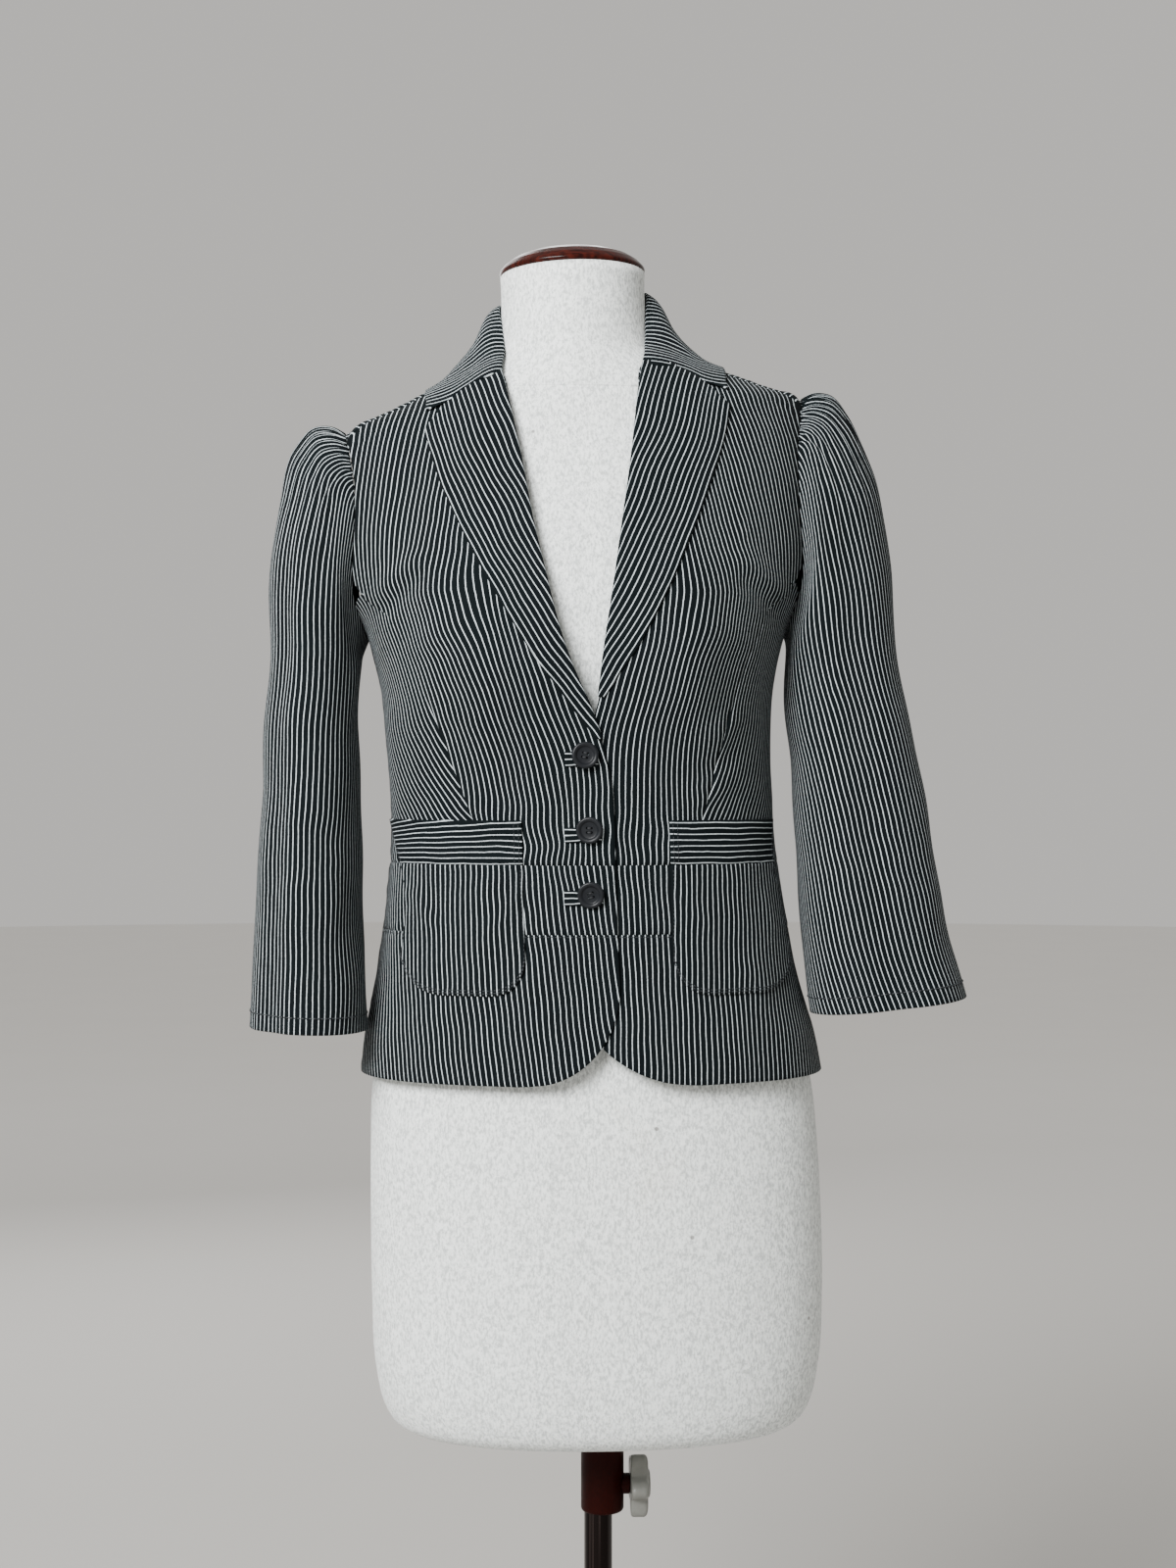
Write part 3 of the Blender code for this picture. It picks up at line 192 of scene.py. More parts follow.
def grid_of(node):
    """The outer face's points, rows going up and columns to the right as seen from outside."""
    points, triangles = outer_face(node, BODY_CORE)
    loop = boundary_loops(triangles)[0]
    count, half = len(np.unique(triangles)), len(loop) // 2 + 2
    root = math.isqrt(half * half - 4 * count)
    found = []
    for width in {(half + root) // 2, (half - root) // 2}:
        for start in range(len(loop)):
            rows, left = peeled(points, triangles, (loop[start:] + loop[:start])[:width])
            if not left and len(rows) * width == count:
                found.append(points[np.array(rows)])
    return max(found, key=lambda grid: grid[-1, :, 2].mean() - grid[0, :, 2].mean())


def tube_of(node):
    """The same for a tube, with its columns all round it."""
    low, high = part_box(node)
    points, triangles = outer_face(node, (low + high) / 2)
    top = max(boundary_loops(triangles), key=lambda loop: points[loop][:, 2].mean())
    rows, _ = peeled(points, triangles, top, closed=True)
    return points[np.array(rows)][::-1, ::-1]


# Smooth surfaces


def around_axis(grid):
    """The grid with its first column again at the end."""
    return np.concatenate([grid, grid[:, :1]], axis=1)


def run(grid, axis):
    """Distance of each point from the grid's start along an axis."""
    steps = np.diff(grid, axis=axis, prepend=np.take(grid, [0], axis))
    return np.cumsum(np.linalg.norm(steps, axis=2), axis)


def edge_distances(grid):
    """Distances from the bottom, top, left and right edges."""
    up, across = run(grid, 0), run(grid, 1)
    return {"bottom": up, "top": up[-1:] - up, "left": across, "right": across[:, -1:] - across}


def edge_first(grid, edge):
    """A view of a grid, turned so that its first row is this edge."""
    grid = np.swapaxes(grid, 0, 1) if edge in ("left", "right") else grid
    return grid[::-1] if edge in ("top", "right") else grid


def read_line(at, far, line):
    """A line's points at some distances along it."""
    return np.stack([np.interp(at, far, values) for values in line.T], -1)


def through(values, at):
    """Smooth curves through values along axis 0, read at places counted in points from the first one."""
    gap = np.maximum(np.linalg.norm(np.diff(values, axis=0), axis=-1, keepdims=True), WELD)
    slope = np.diff(values, axis=0) / gap
    inner = (slope[:-1] * gap[1:] + slope[1:] * gap[:-1]) / (gap[:-1] + gap[1:])
    first, last = 1.5 * slope[:1] - 0.5 * inner[:1], 1.5 * slope[-1:] - 0.5 * inner[-1:]
    tangent = np.concatenate([first, inner, last])
    low = np.clip(np.floor(at).astype(int), 0, len(gap) - 1)
    t = (at - low)[:, None, None]
    chord = (2 * t**3 - 3 * t**2 + 1) * values[low] + (3 * t**2 - 2 * t**3) * values[low + 1]
    return chord + gap[low] * ((t**3 - 2 * t**2 + t) * tangent[low] + (t**3 - t**2) * tangent[low + 1])


def places(grid, axis, step, closed=False):
    """Where to read a grid along an axis so that its points are about a step apart, counted in points."""
    grid = around_axis(grid) if closed else grid
    lengths = np.linalg.norm(np.diff(grid, axis=axis), axis=2).mean(1 - axis)
    far = np.concatenate([[0], np.cumsum(lengths)])
    at = np.linspace(0, far[-1], max(3, round(far[-1] / step)) + 1)[: -1 if closed else None]
    return np.interp(at, far, np.arange(len(far)))


def refined(grid, step, closed=False):
    """The smooth surface through a grid, with a point about every step."""
    columns = np.swapaxes(through(grid, places(grid, 0, step)), 0, 1)
    at = places(grid, 1, step, closed)
    if closed:
        columns, at = np.concatenate([columns[-3:], columns, columns[:3]]), at + 3
    return np.swapaxes(through(columns, at), 0, 1)


def normals(grid, closed=False):
    if closed:
        along = np.gradient(np.concatenate([grid[:, -1:], grid, grid[:, :1]], axis=1), axis=1)[:, 1:-1]
    else:
        along = np.gradient(grid, axis=1)
    return unit(np.cross(along, np.gradient(grid, axis=0)))


def ripple(points, length, seed, waves=7):
    """Smooth unevenness between about -1 and 1, with bumps about this long."""
    random = np.random.default_rng(seed)
    total = np.zeros(points.shape[:-1])
    for _ in range(waves):
        way = unit(random.normal(size=3)) * 2 * math.pi / (length * random.uniform(0.7, 1.6))
        total += np.sin(points @ way + random.uniform(0, 2 * math.pi))
    return total / math.sqrt(waves)


def tree_of(*nodes):
    """A search tree of some nodes' solids."""
    points, faces = [], []
    for name in nodes:
        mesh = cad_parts[name].data
        mesh.calc_loop_triangles()
        faces += [[len(points) + v for v in t.vertices] for t in mesh.loop_triangles]
        points += [vert.co.copy() for vert in mesh.vertices]
    return BVHTree.FromPolygons(points, faces)


# Creases: where each runs on the body, as (across, height) in millimetres, then its width, how far it
# stands out, and how far it pushes the stripes aside
FRONT_CREASES = (
    ((96, 1172), (122, 1150), (150, 1128), 11, 2.6, 3.0),
    ((92, 1150), (118, 1133), (146, 1108), 9, -2.4, 2.0),
    ((104, 1196), (108, 1172), 5, 1.0, 1.2),
    ((60, 1118), (96, 1104), (132, 1082), 13, 1.6, 1.2),
    ((70, 1020), (92, 1034), (112, 1052), 9, 1.5, 1.6),
    ((62, 1000), (84, 1006), (106, 1018), 8, -1.4, 1.4),
    ((58, 980), (80, 988), (104, 1000), 7, 1.3, 1.5),
    ((-132, 1172), (-152, 1150), (-178, 1130), 11, 2.4, 3.0),
    ((-126, 1152), (-148, 1134), (-172, 1112), 9, -2.2, 2.0),
    ((-96, 1118), (-126, 1104), (-154, 1086), 13, 1.4, 1.0),
    ((-84, 1030), (-104, 1040), (-128, 1052), 10, 1.2, 1.0),
    ((-44, 966), (-74, 972), (-110, 984), 10, 1.2, 1.2),
    ((-20, 946), (-48, 941), (-80, 938), 8, 1.2, 1.4),
    ((-34, 1050), (-60, 1072), (-84, 1098), 12, 1.2, 0.8),
    ((22, 948), (44, 942), (60, 936), 8, 1.1, 1.3),
    ((60, 925), (66, 905), (84, 880), 8, 1.3, 1.2),
    ((-60, 924), (-70, 902), (-92, 872), 8, 1.3, 1.2),
    ((-140, 920), (-132, 900), (-118, 884), 7, 1.2, 1.5),
    ((118, 918), (126, 896), (132, 872), 9, 1.3, 1.4),
    ((100, 868), (116, 846), (124, 818), 12, 1.5, 1.2),
    ((-96, 860), (-112, 836), (-120, 806), 12, 1.3, 1.0),
    ((26, 870), (30, 836), (34, 800), 12, 1.3, 1.0),
    ((-52, 866), (-50, 834), (-46, 800), 12, 1.1, 1.0),
)
BACK_CREASES = (
    ((40, 1200), (90, 1180), (136, 1150), 12, 2.2, 2.0),
    ((30, 1170), (84, 1150), (132, 1120), 11, -1.8, 1.4),
    ((-76, 1200), (-124, 1180), (-168, 1150), 12, 2.2, 2.0),
    ((-66, 1168), (-120, 1148), (-166, 1118), 11, -1.8, 1.4),
    ((-90, 1010), (-40, 1002), (20, 1008), 13, 1.6, 0.8),
    ((60, 990), (20, 982), (-50, 986), 11, -1.3, 0.8),
    ((70, 960), (30, 954), (-20, 957), 9, 1.2, 1.0),
    ((-100, 958), (-70, 952), (-34, 955), 9, 1.1, 1.0),
    ((-110, 868), (-112, 830), (-116, 790), 15, 1.8, 0.8),
    ((60, 868), (64, 830), (70, 790), 15, 1.8, 0.8),
    ((-24, 868), (-22, 830), (-20, 790), 14, -1.4, 0.8),
)
CREASE_END = 0.35  # share of a crease over which each end dies out
CREASE_POINTS = 80
BODY_NAMES = ("front", "side_front", "back", "waistband", "peplum")  # what its nodes' names start with


def crease_lines():
    """Each crease as a line of points on the body's surface, with its measures."""
    tree = tree_of(*(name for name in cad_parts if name.startswith(BODY_NAMES)))
    for way, creases in ((1, FRONT_CREASES), (-1, BACK_CREASES)):
        for *corners, width, out, push in creases:
            shares = np.linspace(0, len(corners) - 1, CREASE_POINTS)
            at = read_line(shares, range(len(corners)), np.array(corners) * MM)
            hits = [tree.ray_cast(Vector((x, -way * CAST_FROM, z)), Vector((0, way, 0)))[0] for x, z in at]
            yield np.array([hit for hit in hits if hit]), width * MM, out * MM, push * MM


CREASE_LINES = list(crease_lines())


def creased(grid):
    """How far the creases move each point out, and how far they push the stripes."""
    flat = grid.reshape(-1, 3)
    out, aside = np.zeros(len(flat)), np.zeros(len(flat))
    for line, width, height, push in CREASE_LINES:
        near = np.flatnonzero(((flat > line.min(0) - 3 * width) & (flat < line.max(0) + 3 * width)).all(1))
        if not len(near):
            continue
        apart = flat[near, None] - line[None]
        distance = np.linalg.norm(apart, axis=2)
        closest = np.arange(len(near)), distance.argmin(1)
        share = closest[1] / (len(line) - 1)
        fade = ease(share, 0, CREASE_END) * (1 - ease(share, 1 - CREASE_END, 1))
        bump = np.exp(-((distance[closest] / width) ** 2)) * fade
        way = line[-1] - line[0]
        above = unit(np.array([-way[2], 0, way[0]])) * (1 if way[0] > 0 else -1)
        out[near] += height * bump
        aside[near] += push * (apart[closest] @ above / width) * bump
    return out.reshape(grid.shape[:2]), aside.reshape(grid.shape[:2])


PUCKER_OUT, PUCKER_LENGTH, PUCKER_REACH, PUCKER_SEED = 0.55 * MM, 15 * MM, 6 * MM, 77
UNEVEN_OUT, UNEVEN_LENGTH = 0.5 * MM, 60 * MM
SEAM_DIP, SEAM_REACH = 0.45 * MM, 1.5 * MM
DART_FADE = (DART_TIP - 0.02, DART_TIP + 0.004)
MEET, UNDERARM_MEET, UNDERARM = 0.25 * MM, 3.2 * MM, (1.158, 0.022)  # the last is a height and a reach


def widened(grid, edges):
    """The grid with these edges moved out, so that it meets its neighbour, and reaches under the sleeve."""
    grid = grid.copy()
    for edge in edges:
        rows = edge_first(grid, edge)
        reach = MEET + UNDERARM_MEET * np.exp(-(((rows[0][:, 2:] - UNDERARM[0]) / UNDERARM[1]) ** 2))
        rows[0] += reach * unit(rows[0] - rows[1])
    return grid


def worked(grid, seams, seed=1, open_above=()):
    """A cloth surface with its creases, its slight unevenness, and its puckers and dips at the seams.

    An edge in open_above has a seam only up to the tip of the dart.
    """
    out, aside = creased(grid)
    out = out + UNEVEN_OUT * ripple(grid, UNEVEN_LENGTH, seed)
    pucker = ripple(grid, PUCKER_LENGTH, PUCKER_SEED)
    distances = edge_distances(grid)
    for edge in seams:
        here = 1 - ease(grid[..., 2], *DART_FADE) if edge in open_above else 1
        out += here * PUCKER_OUT * pucker * np.exp(-distances[edge] / PUCKER_REACH)
        out -= here * SEAM_DIP * np.exp(-((distances[edge] / SEAM_REACH) ** 2))
    return grid + out[..., None] * normals(grid), aside


# Meshes

RIM = 0.4  # how far a sheet's rim is rounded out, as a share of its thickness


def numbered(rows, columns, start=0):
    """The numbers of a grid's points, row by row."""
    return (start + np.arange(rows * columns).reshape(rows, columns)).tolist()


def bands(rings, turned=False):
    """The faces between each ring of point numbers and the next one, turned over if need be."""
    faces = []
    for high, low in zip(rings, rings[1:]):
        for j in range(len(high)):
            k = (j + 1) % len(high)
            face = [high[j], high[k], low[k], low[j]] if turned else [high[j], low[j], low[k], high[k]]
            faces.append([v for n, v in enumerate(face) if v not in face[:n]])
    return faces


def placed(name, points, faces, finishes, smooth=True):
    """A new object in the scene."""
    mesh = bpy.data.meshes.new(name)
    mesh.from_pydata(points, [], faces)
    for finish in finishes:
        mesh.materials.append(FINISH[finish])
    if smooth:
        mesh.shade_smooth()
    obj = bpy.data.objects.new(name, mesh)
    bpy.context.scene.collection.objects.link(obj)
    return obj


def quads_of(numbers):
    """The faces of a grid of numbers."""
    around = (numbers[:-1, :-1], numbers[:-1, 1:], numbers[1:, 1:], numbers[1:, :-1])
    return np.stack(around, -1).reshape(-1, 4)


def shell(name, grid, cut, thickness, closed=False):
    """A closed sheet with a rounded rim. cut gives each point's place on the flat cloth."""
    inner = (grid - thickness * normals(grid, closed)).reshape(-1, 3)
    outer, half = grid.reshape(-1, 3), len(inner)
    verts = np.arange(half).reshape(grid.shape[:2])
    verts = around_axis(verts) if closed else verts
    cuts = np.arange(verts.size).reshape(verts.shape)
    quads, flat = quads_of(verts), quads_of(cuts)
    points, faces, on_cloth = [outer, inner], [quads, quads[:, ::-1] + half], [flat, flat[:, ::-1]]
    if closed:
        rims = [cuts[0], cuts[-1, ::-1]]
    else:
        rims = [np.concatenate([cuts[0], cuts[1:, -1], cuts[-1, -2::-1], cuts[-2::-1, 0]])]
    for rim in rims:
        a, b = rim[:-1], rim[1:]
        on_cloth.append(np.stack([a, a, b, b, a, a, b, b], 1).reshape(-1, 4))
        a, b = verts.ravel()[a], verts.ravel()[b]
        way = np.cross(outer[b] - np.roll(outer[a], 1, 0), outer[a] - inner[a])
        c = sum(map(len, points)) + np.arange(len(a))
        d = np.roll(c, -1)
        points.append((outer[a] + inner[a]) / 2 + RIM * thickness * unit(way))
        faces.append(np.stack([a, c, d, b, c, a + half, b + half, d], 1).reshape(-1, 4))
    faces = np.vstack(faces)
    obj = placed(name, np.vstack(points), faces.tolist(), CLOTH_FINISH)
    layer = obj.data.uv_layers.new(name="cut")
    layer.data.foreach_set("uv", cut.reshape(-1, 2)[np.vstack(on_cloth).ravel()].ravel())
    index = np.zeros(len(faces), np.int32)
    index[len(quads) : 2 * len(quads)] = 1
    obj.data.polygons.foreach_set("material_index", index)
    return obj


def joined_mesh(name, parts, finish, smooth=True):
    """One object from several (points, faces) pairs."""
    points, faces = [], []
    for part_points, part_faces in parts:
        faces += [[v + sum(map(len, points)) for v in face] for face in part_faces]
        points.append(np.asarray(part_points))
    return placed(name, np.vstack(points), faces, (finish,), smooth)


def lathe(profile, sides=64):
    """Points and faces of a profile of (radius, height) turned about Z, from its top to its bottom."""
    angle = np.arange(sides) * 2 * math.pi / sides
    points, rings = [], []
    for radius, height in profile:
        if radius < 1e-6:
            rings.append([len(points)] * sides)
            points.append((0, 0, height))
            continue
        rings += numbered(1, sides, len(points))
        points += [(radius * math.cos(a), radius * math.sin(a), height) for a in angle]
    return np.array(points, float), bands(rings)


def softened(profile, radius=0.6 * MM, steps=3):
    """A profile with its corners rounded."""
    profile = np.array(profile, float)
    points = [profile[0]]
    for before, corner, after in zip(profile, profile[1:], profile[2:]):
        reach = min(radius, np.linalg.norm(corner - before) * 0.4, np.linalg.norm(after - corner) * 0.4)
        start, end = corner + reach * unit(before - corner), corner + reach * unit(after - corner)
        for t in np.linspace(0, 1, steps + 1):
            points.append((1 - t) ** 2 * start + 2 * t * (1 - t) * corner + t**2 * end)
    return np.array(points + [profile[-1]])


# Stitches

STITCH_PITCH, STITCH_LENGTH, STITCH_RADIUS, STITCH_PROUD = 2.9 * MM, 2.1 * MM, 0.32 * MM, 0.4
STITCH_RINGS = ((-0.5, 0.35), (-0.25, 1.0), (0.25, 1.0), (0.5, 0.35))  # shares of its length and its radius
STITCH_SIDES = 6
CUFF_INSET = 12 * MM


def inset_line(grid, edge, distance, closed=False):
    """The line on a surface that keeps this distance from one of its edges, with the surface's normals."""
    fields = edge_first(np.concatenate([grid, normals(grid, closed)], -1), edge)
    along = run(fields[..., :3], 0)
    line = np.array([read_line(distance, along[:, j], fields[:, j]) for j in range(fields.shape[1])])
    return line[:, :3], unit(line[:, 3:])


def stitches(line, ways, length=STITCH_LENGTH, radius=STITCH_RADIUS):
    """A row of stitches along a line: short rounded lozenges that sit half in the cloth."""
    far = np.concatenate([[0], np.cumsum(np.linalg.norm(np.diff(line, axis=0), axis=1))])
    at = np.arange(STITCH_PITCH, far[-1] - STITCH_PITCH / 2, STITCH_PITCH)
    middle, up = read_line(at, far, line), unit(read_line(at, far, ways))
    along = unit(read_line(at + STITCH_PITCH / 4, far, line) - middle)
    axes = np.stack([along, np.cross(up, along), up], 1)
    angles = np.arange(STITCH_SIDES) * 2 * math.pi / STITCH_SIDES
    lozenge = np.array([
        (place * length, size * radius * math.cos(angle), radius * (size * math.sin(angle) + STITCH_PROUD))
        for place, size in STITCH_RINGS for angle in angles
    ])
    rings = numbered(len(STITCH_RINGS), STITCH_SIDES)
    faces = bands(rings, turned=True) + [rings[0][::-1], rings[-1]]
    faces = [[v + n * len(lozenge) for v in face] for n in range(len(at)) for face in faces]
    return (middle[:, None] + lozenge @ axes).reshape(-1, 3), faces


# Materials


class Nodes:
    """A material's node tree, with short ways to add and join nodes."""

    def __init__(self, name):
        self.material = bpy.data.materials.new(name)
        self.material.use_nodes = True
        self.tree = self.material.node_tree
        self.at = self.add("ShaderNodeTexCoord").outputs["Object"]

    def put(self, value, socket):
        if isinstance(value, bpy.types.NodeSocket):
            self.tree.links.new(value, socket)
        elif value is not None:
            socket.default_value = value

    def add(self, kind, inputs=(), **settings):
        node = self.tree.nodes.new(kind)
        for key, value in settings.items():
            setattr(node, key, value)
        for key, value in dict(inputs).items():
            self.put(value, node.inputs[key])
        return node

    def maths(self, operation, *values):
        node = self.add("ShaderNodeMath", operation=operation)
        for socket, value in zip(node.inputs, values):
            self.put(value, socket)
        return node.outputs[0]

    def noise(self, scale, detail=2.0, roughness=0.5, stretch=None):
        """Noise over the object. stretch scales it along each axis."""
        at = self.at
        if stretch:
            at = self.add("ShaderNodeMapping", {"Vector": at, "Scale": stretch}).outputs["Vector"]
        sockets = {"Vector": at, "Scale": scale, "Detail": detail, "Roughness": roughness}
        return self.add("ShaderNodeTexNoise", sockets).outputs["Fac"]

    def between(self, value, low, high, to_low=0.0, to_high=1.0):
        sockets = {"Value": value, "From Min": low, "From Max": high, "To Min": to_low, "To Max": to_high}
        return self.add("ShaderNodeMapRange", sockets, interpolation_type="SMOOTHSTEP").outputs["Result"]

    def mix(self, share, first, second):
        node = self.add("ShaderNodeMix", data_type="RGBA")
        self.put(share, node.inputs["Factor"])
        colours = [socket for socket in node.inputs if socket.type == "RGBA"]
        for socket, value in zip(colours, (first, second)):
            self.put(value if isinstance(value, bpy.types.NodeSocket) else (*value, 1.0), socket)
        return [socket for socket in node.outputs if socket.type == "RGBA"][0]

    def bump(self, height, distance, strength, normal=None):
        sockets = {"Height": height, "Distance": distance, "Strength": strength, "Normal": normal}
        return self.add("ShaderNodeBump", sockets).outputs["Normal"]

    def finish(self, **values):
        for key, value in values.items():
            self.put(value, self.tree.nodes["Principled BSDF"].inputs[key.replace("_", " ")])
        return self.material


GROUND, GROUND_LIGHT = (0.0012, 0.0024, 0.0030), (0.0042, 0.0066, 0.0076)
LINE, LINE_DULL = (0.58, 0.63, 0.65), (0.36, 0.41, 0.43)
LINE_EDGE = (0.052, 0.094)  # from a line's middle, as shares of the stripe
TWILL_LONG, TWILL_WIDE, TWILL_RAGGED, WANDER = 0.75 * MM, 0.9 * MM, 0.018, 0.5 * MM
NECK_SEAM, NECK_SEAM_WIDTH = 1.291, 1.6 * MM
JERSEY_DARK, JERSEY_PALE = (0.44, 0.465, 0.458), (0.83, 0.865, 0.845)
JERSEY_STAIN, JERSEY_SPECK = (0.55, 0.48, 0.36), (0.12, 0.11, 0.10)
WOOD_DARK, WOOD_LIGHT = (0.010, 0.0016, 0.0012), (0.045, 0.0060, 0.0032)
BACKGROUND = (0.60, 0.585, 0.56)
FLOOR_NEAR_SHADE, FLOOR_FAR = (0.42, 0.408, 0.385), (0.88, 0.865, 0.84)
FLOOR_SHADE_FADE = (0.6, 5.5)  # painted shade: the floor is darker near the stand and grows paler with distance, so that it meets the wall softly


def striped_cloth(name, fade=0.0):
    """Dark twill with pale lines along the cloth's length. fade dulls the lines, as on the back of it."""
    n = Nodes(name)
    cut = n.add("ShaderNodeUVMap", uv_map="cut").outputs["UV"]
    across, along, _ = n.add("ShaderNodeSeparateXYZ", {"Vector": cut}).outputs
    wander = n.maths("MULTIPLY", n.maths("SUBTRACT", n.noise(140.0), 0.5), WANDER)
    place = n.maths("DIVIDE", n.maths("ADD", across, wander), STRIPE)
    phase = n.maths("ABSOLUTE", n.maths("SUBTRACT", n.maths("FRACT", place), 0.5))
    twill_at = n.maths("ADD", n.maths("DIVIDE", along, TWILL_LONG), n.maths("DIVIDE", across, TWILL_WIDE))
    twill = n.maths("SINE", n.maths("MULTIPLY", twill_at, 2 * math.pi))
    line = n.between(n.maths("MULTIPLY_ADD", twill, TWILL_RAGGED, phase), *LINE_EDGE, 1.0, 0.0)
    cloudy = n.noise(900.0, 3.0)
    ground = n.mix(cloudy, GROUND, GROUND_LIGHT)
    thread = n.mix(n.between(cloudy, 0.35, 0.65), LINE_DULL, LINE)
    colour = n.mix(n.maths("MULTIPLY", line, 1.0 - fade), ground, thread)
    height = n.maths("MULTIPLY_ADD", twill, 0.35, n.maths("MULTIPLY", line, 0.5))
    return n.finish(
        Base_Color=colour, Roughness=0.88, Normal=n.bump(height, 0.12 * MM, 0.6), Sheen_Weight=0.01,
        Sheen_Roughness=0.5, Specular_IOR_Level=0.05,
    )


def jersey(name):
    """Pale heathered jersey with a few specks and faint stains."""
    n = Nodes(name)
    heather = n.noise(540.0, 4.0, 0.75, stretch=(1.0, 1.0, 0.5))
    mottled = n.maths("MULTIPLY_ADD", n.noise(210.0), 0.18, n.maths("MULTIPLY", heather, 0.9))
    base = n.mix(n.between(mottled, 0.41, 0.64), JERSEY_DARK, JERSEY_PALE)
    stained = n.mix(n.between(n.noise(7.0, 3.0), 0.60, 0.78, 0.0, 0.22), base, JERSEY_STAIN)
    spot = n.add("ShaderNodeTexVoronoi", {"Vector": n.at, "Scale": 17.0}, feature="F1").outputs["Distance"]
    colour = n.mix(n.between(spot, 0.02, 0.035, 0.75, 0.0), stained, JERSEY_SPECK)
    height = n.add("ShaderNodeSeparateXYZ", {"Vector": n.at}).outputs["Z"]
    seam = n.between(n.maths("ABSOLUTE", n.maths("SUBTRACT", height, NECK_SEAM)), 0.0, NECK_SEAM_WIDTH)
    normal = n.bump(heather, 0.35 * MM, 0.5, n.bump(seam, 0.8 * MM, 0.7))
    return n.finish(
        Base_Color=colour, Roughness=0.95, Normal=normal, Sheen_Weight=0.2, Specular_IOR_Level=0.2,
    )


def wood(name):
    n = Nodes(name)
    grain = n.noise(9.0, 5.0, 0.6, stretch=(14.0, 60.0, 14.0))
    return n.finish(
        Base_Color=n.mix(n.between(grain, 0.35, 0.7), WOOD_DARK, WOOD_LIGHT),
        Roughness=n.between(n.noise(60.0), 0.3, 0.7, 0.16, 0.30),
        Specular_IOR_Level=0.12, Coat_Weight=0.02, Coat_Roughness=0.12,
    )


def steel(name, colour, low, high, tone_and_reflection_gain=0.8):
    """Brushed along Z, with roughness from low to high. The last argument sets how bright the streaks along Z
    are in the base colour: above 1 they are painted reflections, below 1 a darker tone of the metal.
    """
    n = Nodes(name)
    brushed = n.noise(1.0, 3.0, stretch=(900.0, 900.0, 8.0))
    tone_and_reflection_streak = n.noise(1.0, stretch=(420.0, 420.0, 1.5))
    return n.finish(
        # streaks along Z in the base colour: painted reflections where brighter than the metal, a darker tone
        # where dimmer
        Base_Color=n.mix(n.between(tone_and_reflection_streak, 0.52, 0.66), colour, tuple(tone_and_reflection_gain * c for c in colour)),
        Metallic=1.0, Roughness=n.between(brushed, 0.3, 0.7, low, high),
        Normal=n.bump(brushed, 0.02 * MM, 0.3),
    )


def plastic(name, dark, light, low, high, scale=300.0, specular=0.5):
    n = Nodes(name)
    cloudy = n.noise(scale, 4.0)
    return n.finish(
        Base_Color=n.mix(cloudy, dark, light), Roughness=n.between(n.noise(90.0, 3.0), 0.3, 0.7, low, high),
        Normal=n.bump(cloudy, 0.05 * MM, 0.35), Specular_IOR_Level=specular,
    )


def thread(name, colour):
    n = Nodes(name)
    twist = n.noise(4000.0)
    return n.finish(
        Base_Color=n.mix(twist, colour, tuple(1.8 * c for c in colour)), Roughness=0.7,
        Normal=n.bump(twist, 0.05 * MM, 0.5),
    )


def pale_floor(name):
    n = Nodes(name)
    away = n.add("ShaderNodeVectorMath", {"Vector": n.at}, operation="LENGTH").outputs["Value"]
    # painted shade: the floor is darkest round the stand and pales with distance
    shade = n.mix(n.between(away, *FLOOR_SHADE_FADE), FLOOR_NEAR_SHADE, FLOOR_FAR)
    shade = n.mix(n.maths("MULTIPLY", n.noise(3.0, 4.0), 0.12), shade, BACKGROUND)
    return n.finish(Base_Color=shade, Roughness=0.85)


FINISHES = (
    ("striped_cloth", striped_cloth),
    ("striped_cloth_reverse", striped_cloth, 0.45),
    ("form_jersey", jersey),
    ("cap_wood", wood),
    # the pole's streaks, at five times its colour, are painted reflections
    ("pole_steel", steel, (0.013, 0.010, 0.0095), 0.10, 0.20, 5.0),
    ("base_steel", steel, (0.42, 0.42, 0.43), 0.28, 0.42),
    ("socket_plastic", plastic, (0.009, 0.0007, 0.0003), (0.020, 0.0018, 0.0008), 0.34, 0.46, 300.0, 0.06),
    ("knob_plastic", plastic, (0.155, 0.158, 0.143), (0.205, 0.208, 0.19), 0.32, 0.45),
    ("button_plastic", plastic, (0.0035, 0.004, 0.005), (0.012, 0.0135, 0.016), 0.30, 0.42, 220.0, 0.16),
    ("dark_thread", thread, (0.006, 0.008, 0.010)),
    ("button_thread", thread, (0.012, 0.013, 0.015)),
    ("pale_floor", pale_floor),
)
FINISH = {name: make(name, *how) for name, make, *how in FINISHES}
CLOTH_FINISH = ("striped_cloth", "striped_cloth_reverse")


# Stripes: each function gives the distance across the stripes at every point

CENTRE_LINE = ((0.78, 0.88, 0.96, 1.04, 1.11, 1.3), (-0.0056, -0.0101, -0.0121, -0.0161, -0.017, -0.019))
# Heights in millimetres, with the degrees that the front's stripes lean outwards on their way up
FRONT_LEAN = {
    "right": (
        (932, 0), (975, 1), (992, 6), (1010, 15), (1035, 18), (1085, 18), (1140, 6), (1190, -5), (1260, -16),
    ),
    "left": ((932, 0), (1006, 3), (1035, 15), (1085, 16), (1140, 1), (1190, -12), (1260, -22)),
}
SIDE_GAIN = ((1020, 0), (1059, 3.5), (1100, 3.5), (1140, -7), (1185, -7), (1230, 0))  # more, towards the side
BEYOND_DART = {  # the lean of the cloth beyond the dart
    "right": ((932, 38), (1000, 37), (1030, 34), (1062, 28)),
    "left": ((932, 33), (1000, 32), (1062, 24)),
}
# Heights with the millimetres that a stripe is drawn outwards near the armpit
SWIRL = ((1060, 0), (1084, 1.5), (1104, 4), (1120, 6), (1134, 7), (1148, 5.5), (1166, 1.5), (1186, 0))
CROWDED = {"right": 0.0, "left": 0.14}  # how much closer the stripes lie towards the side
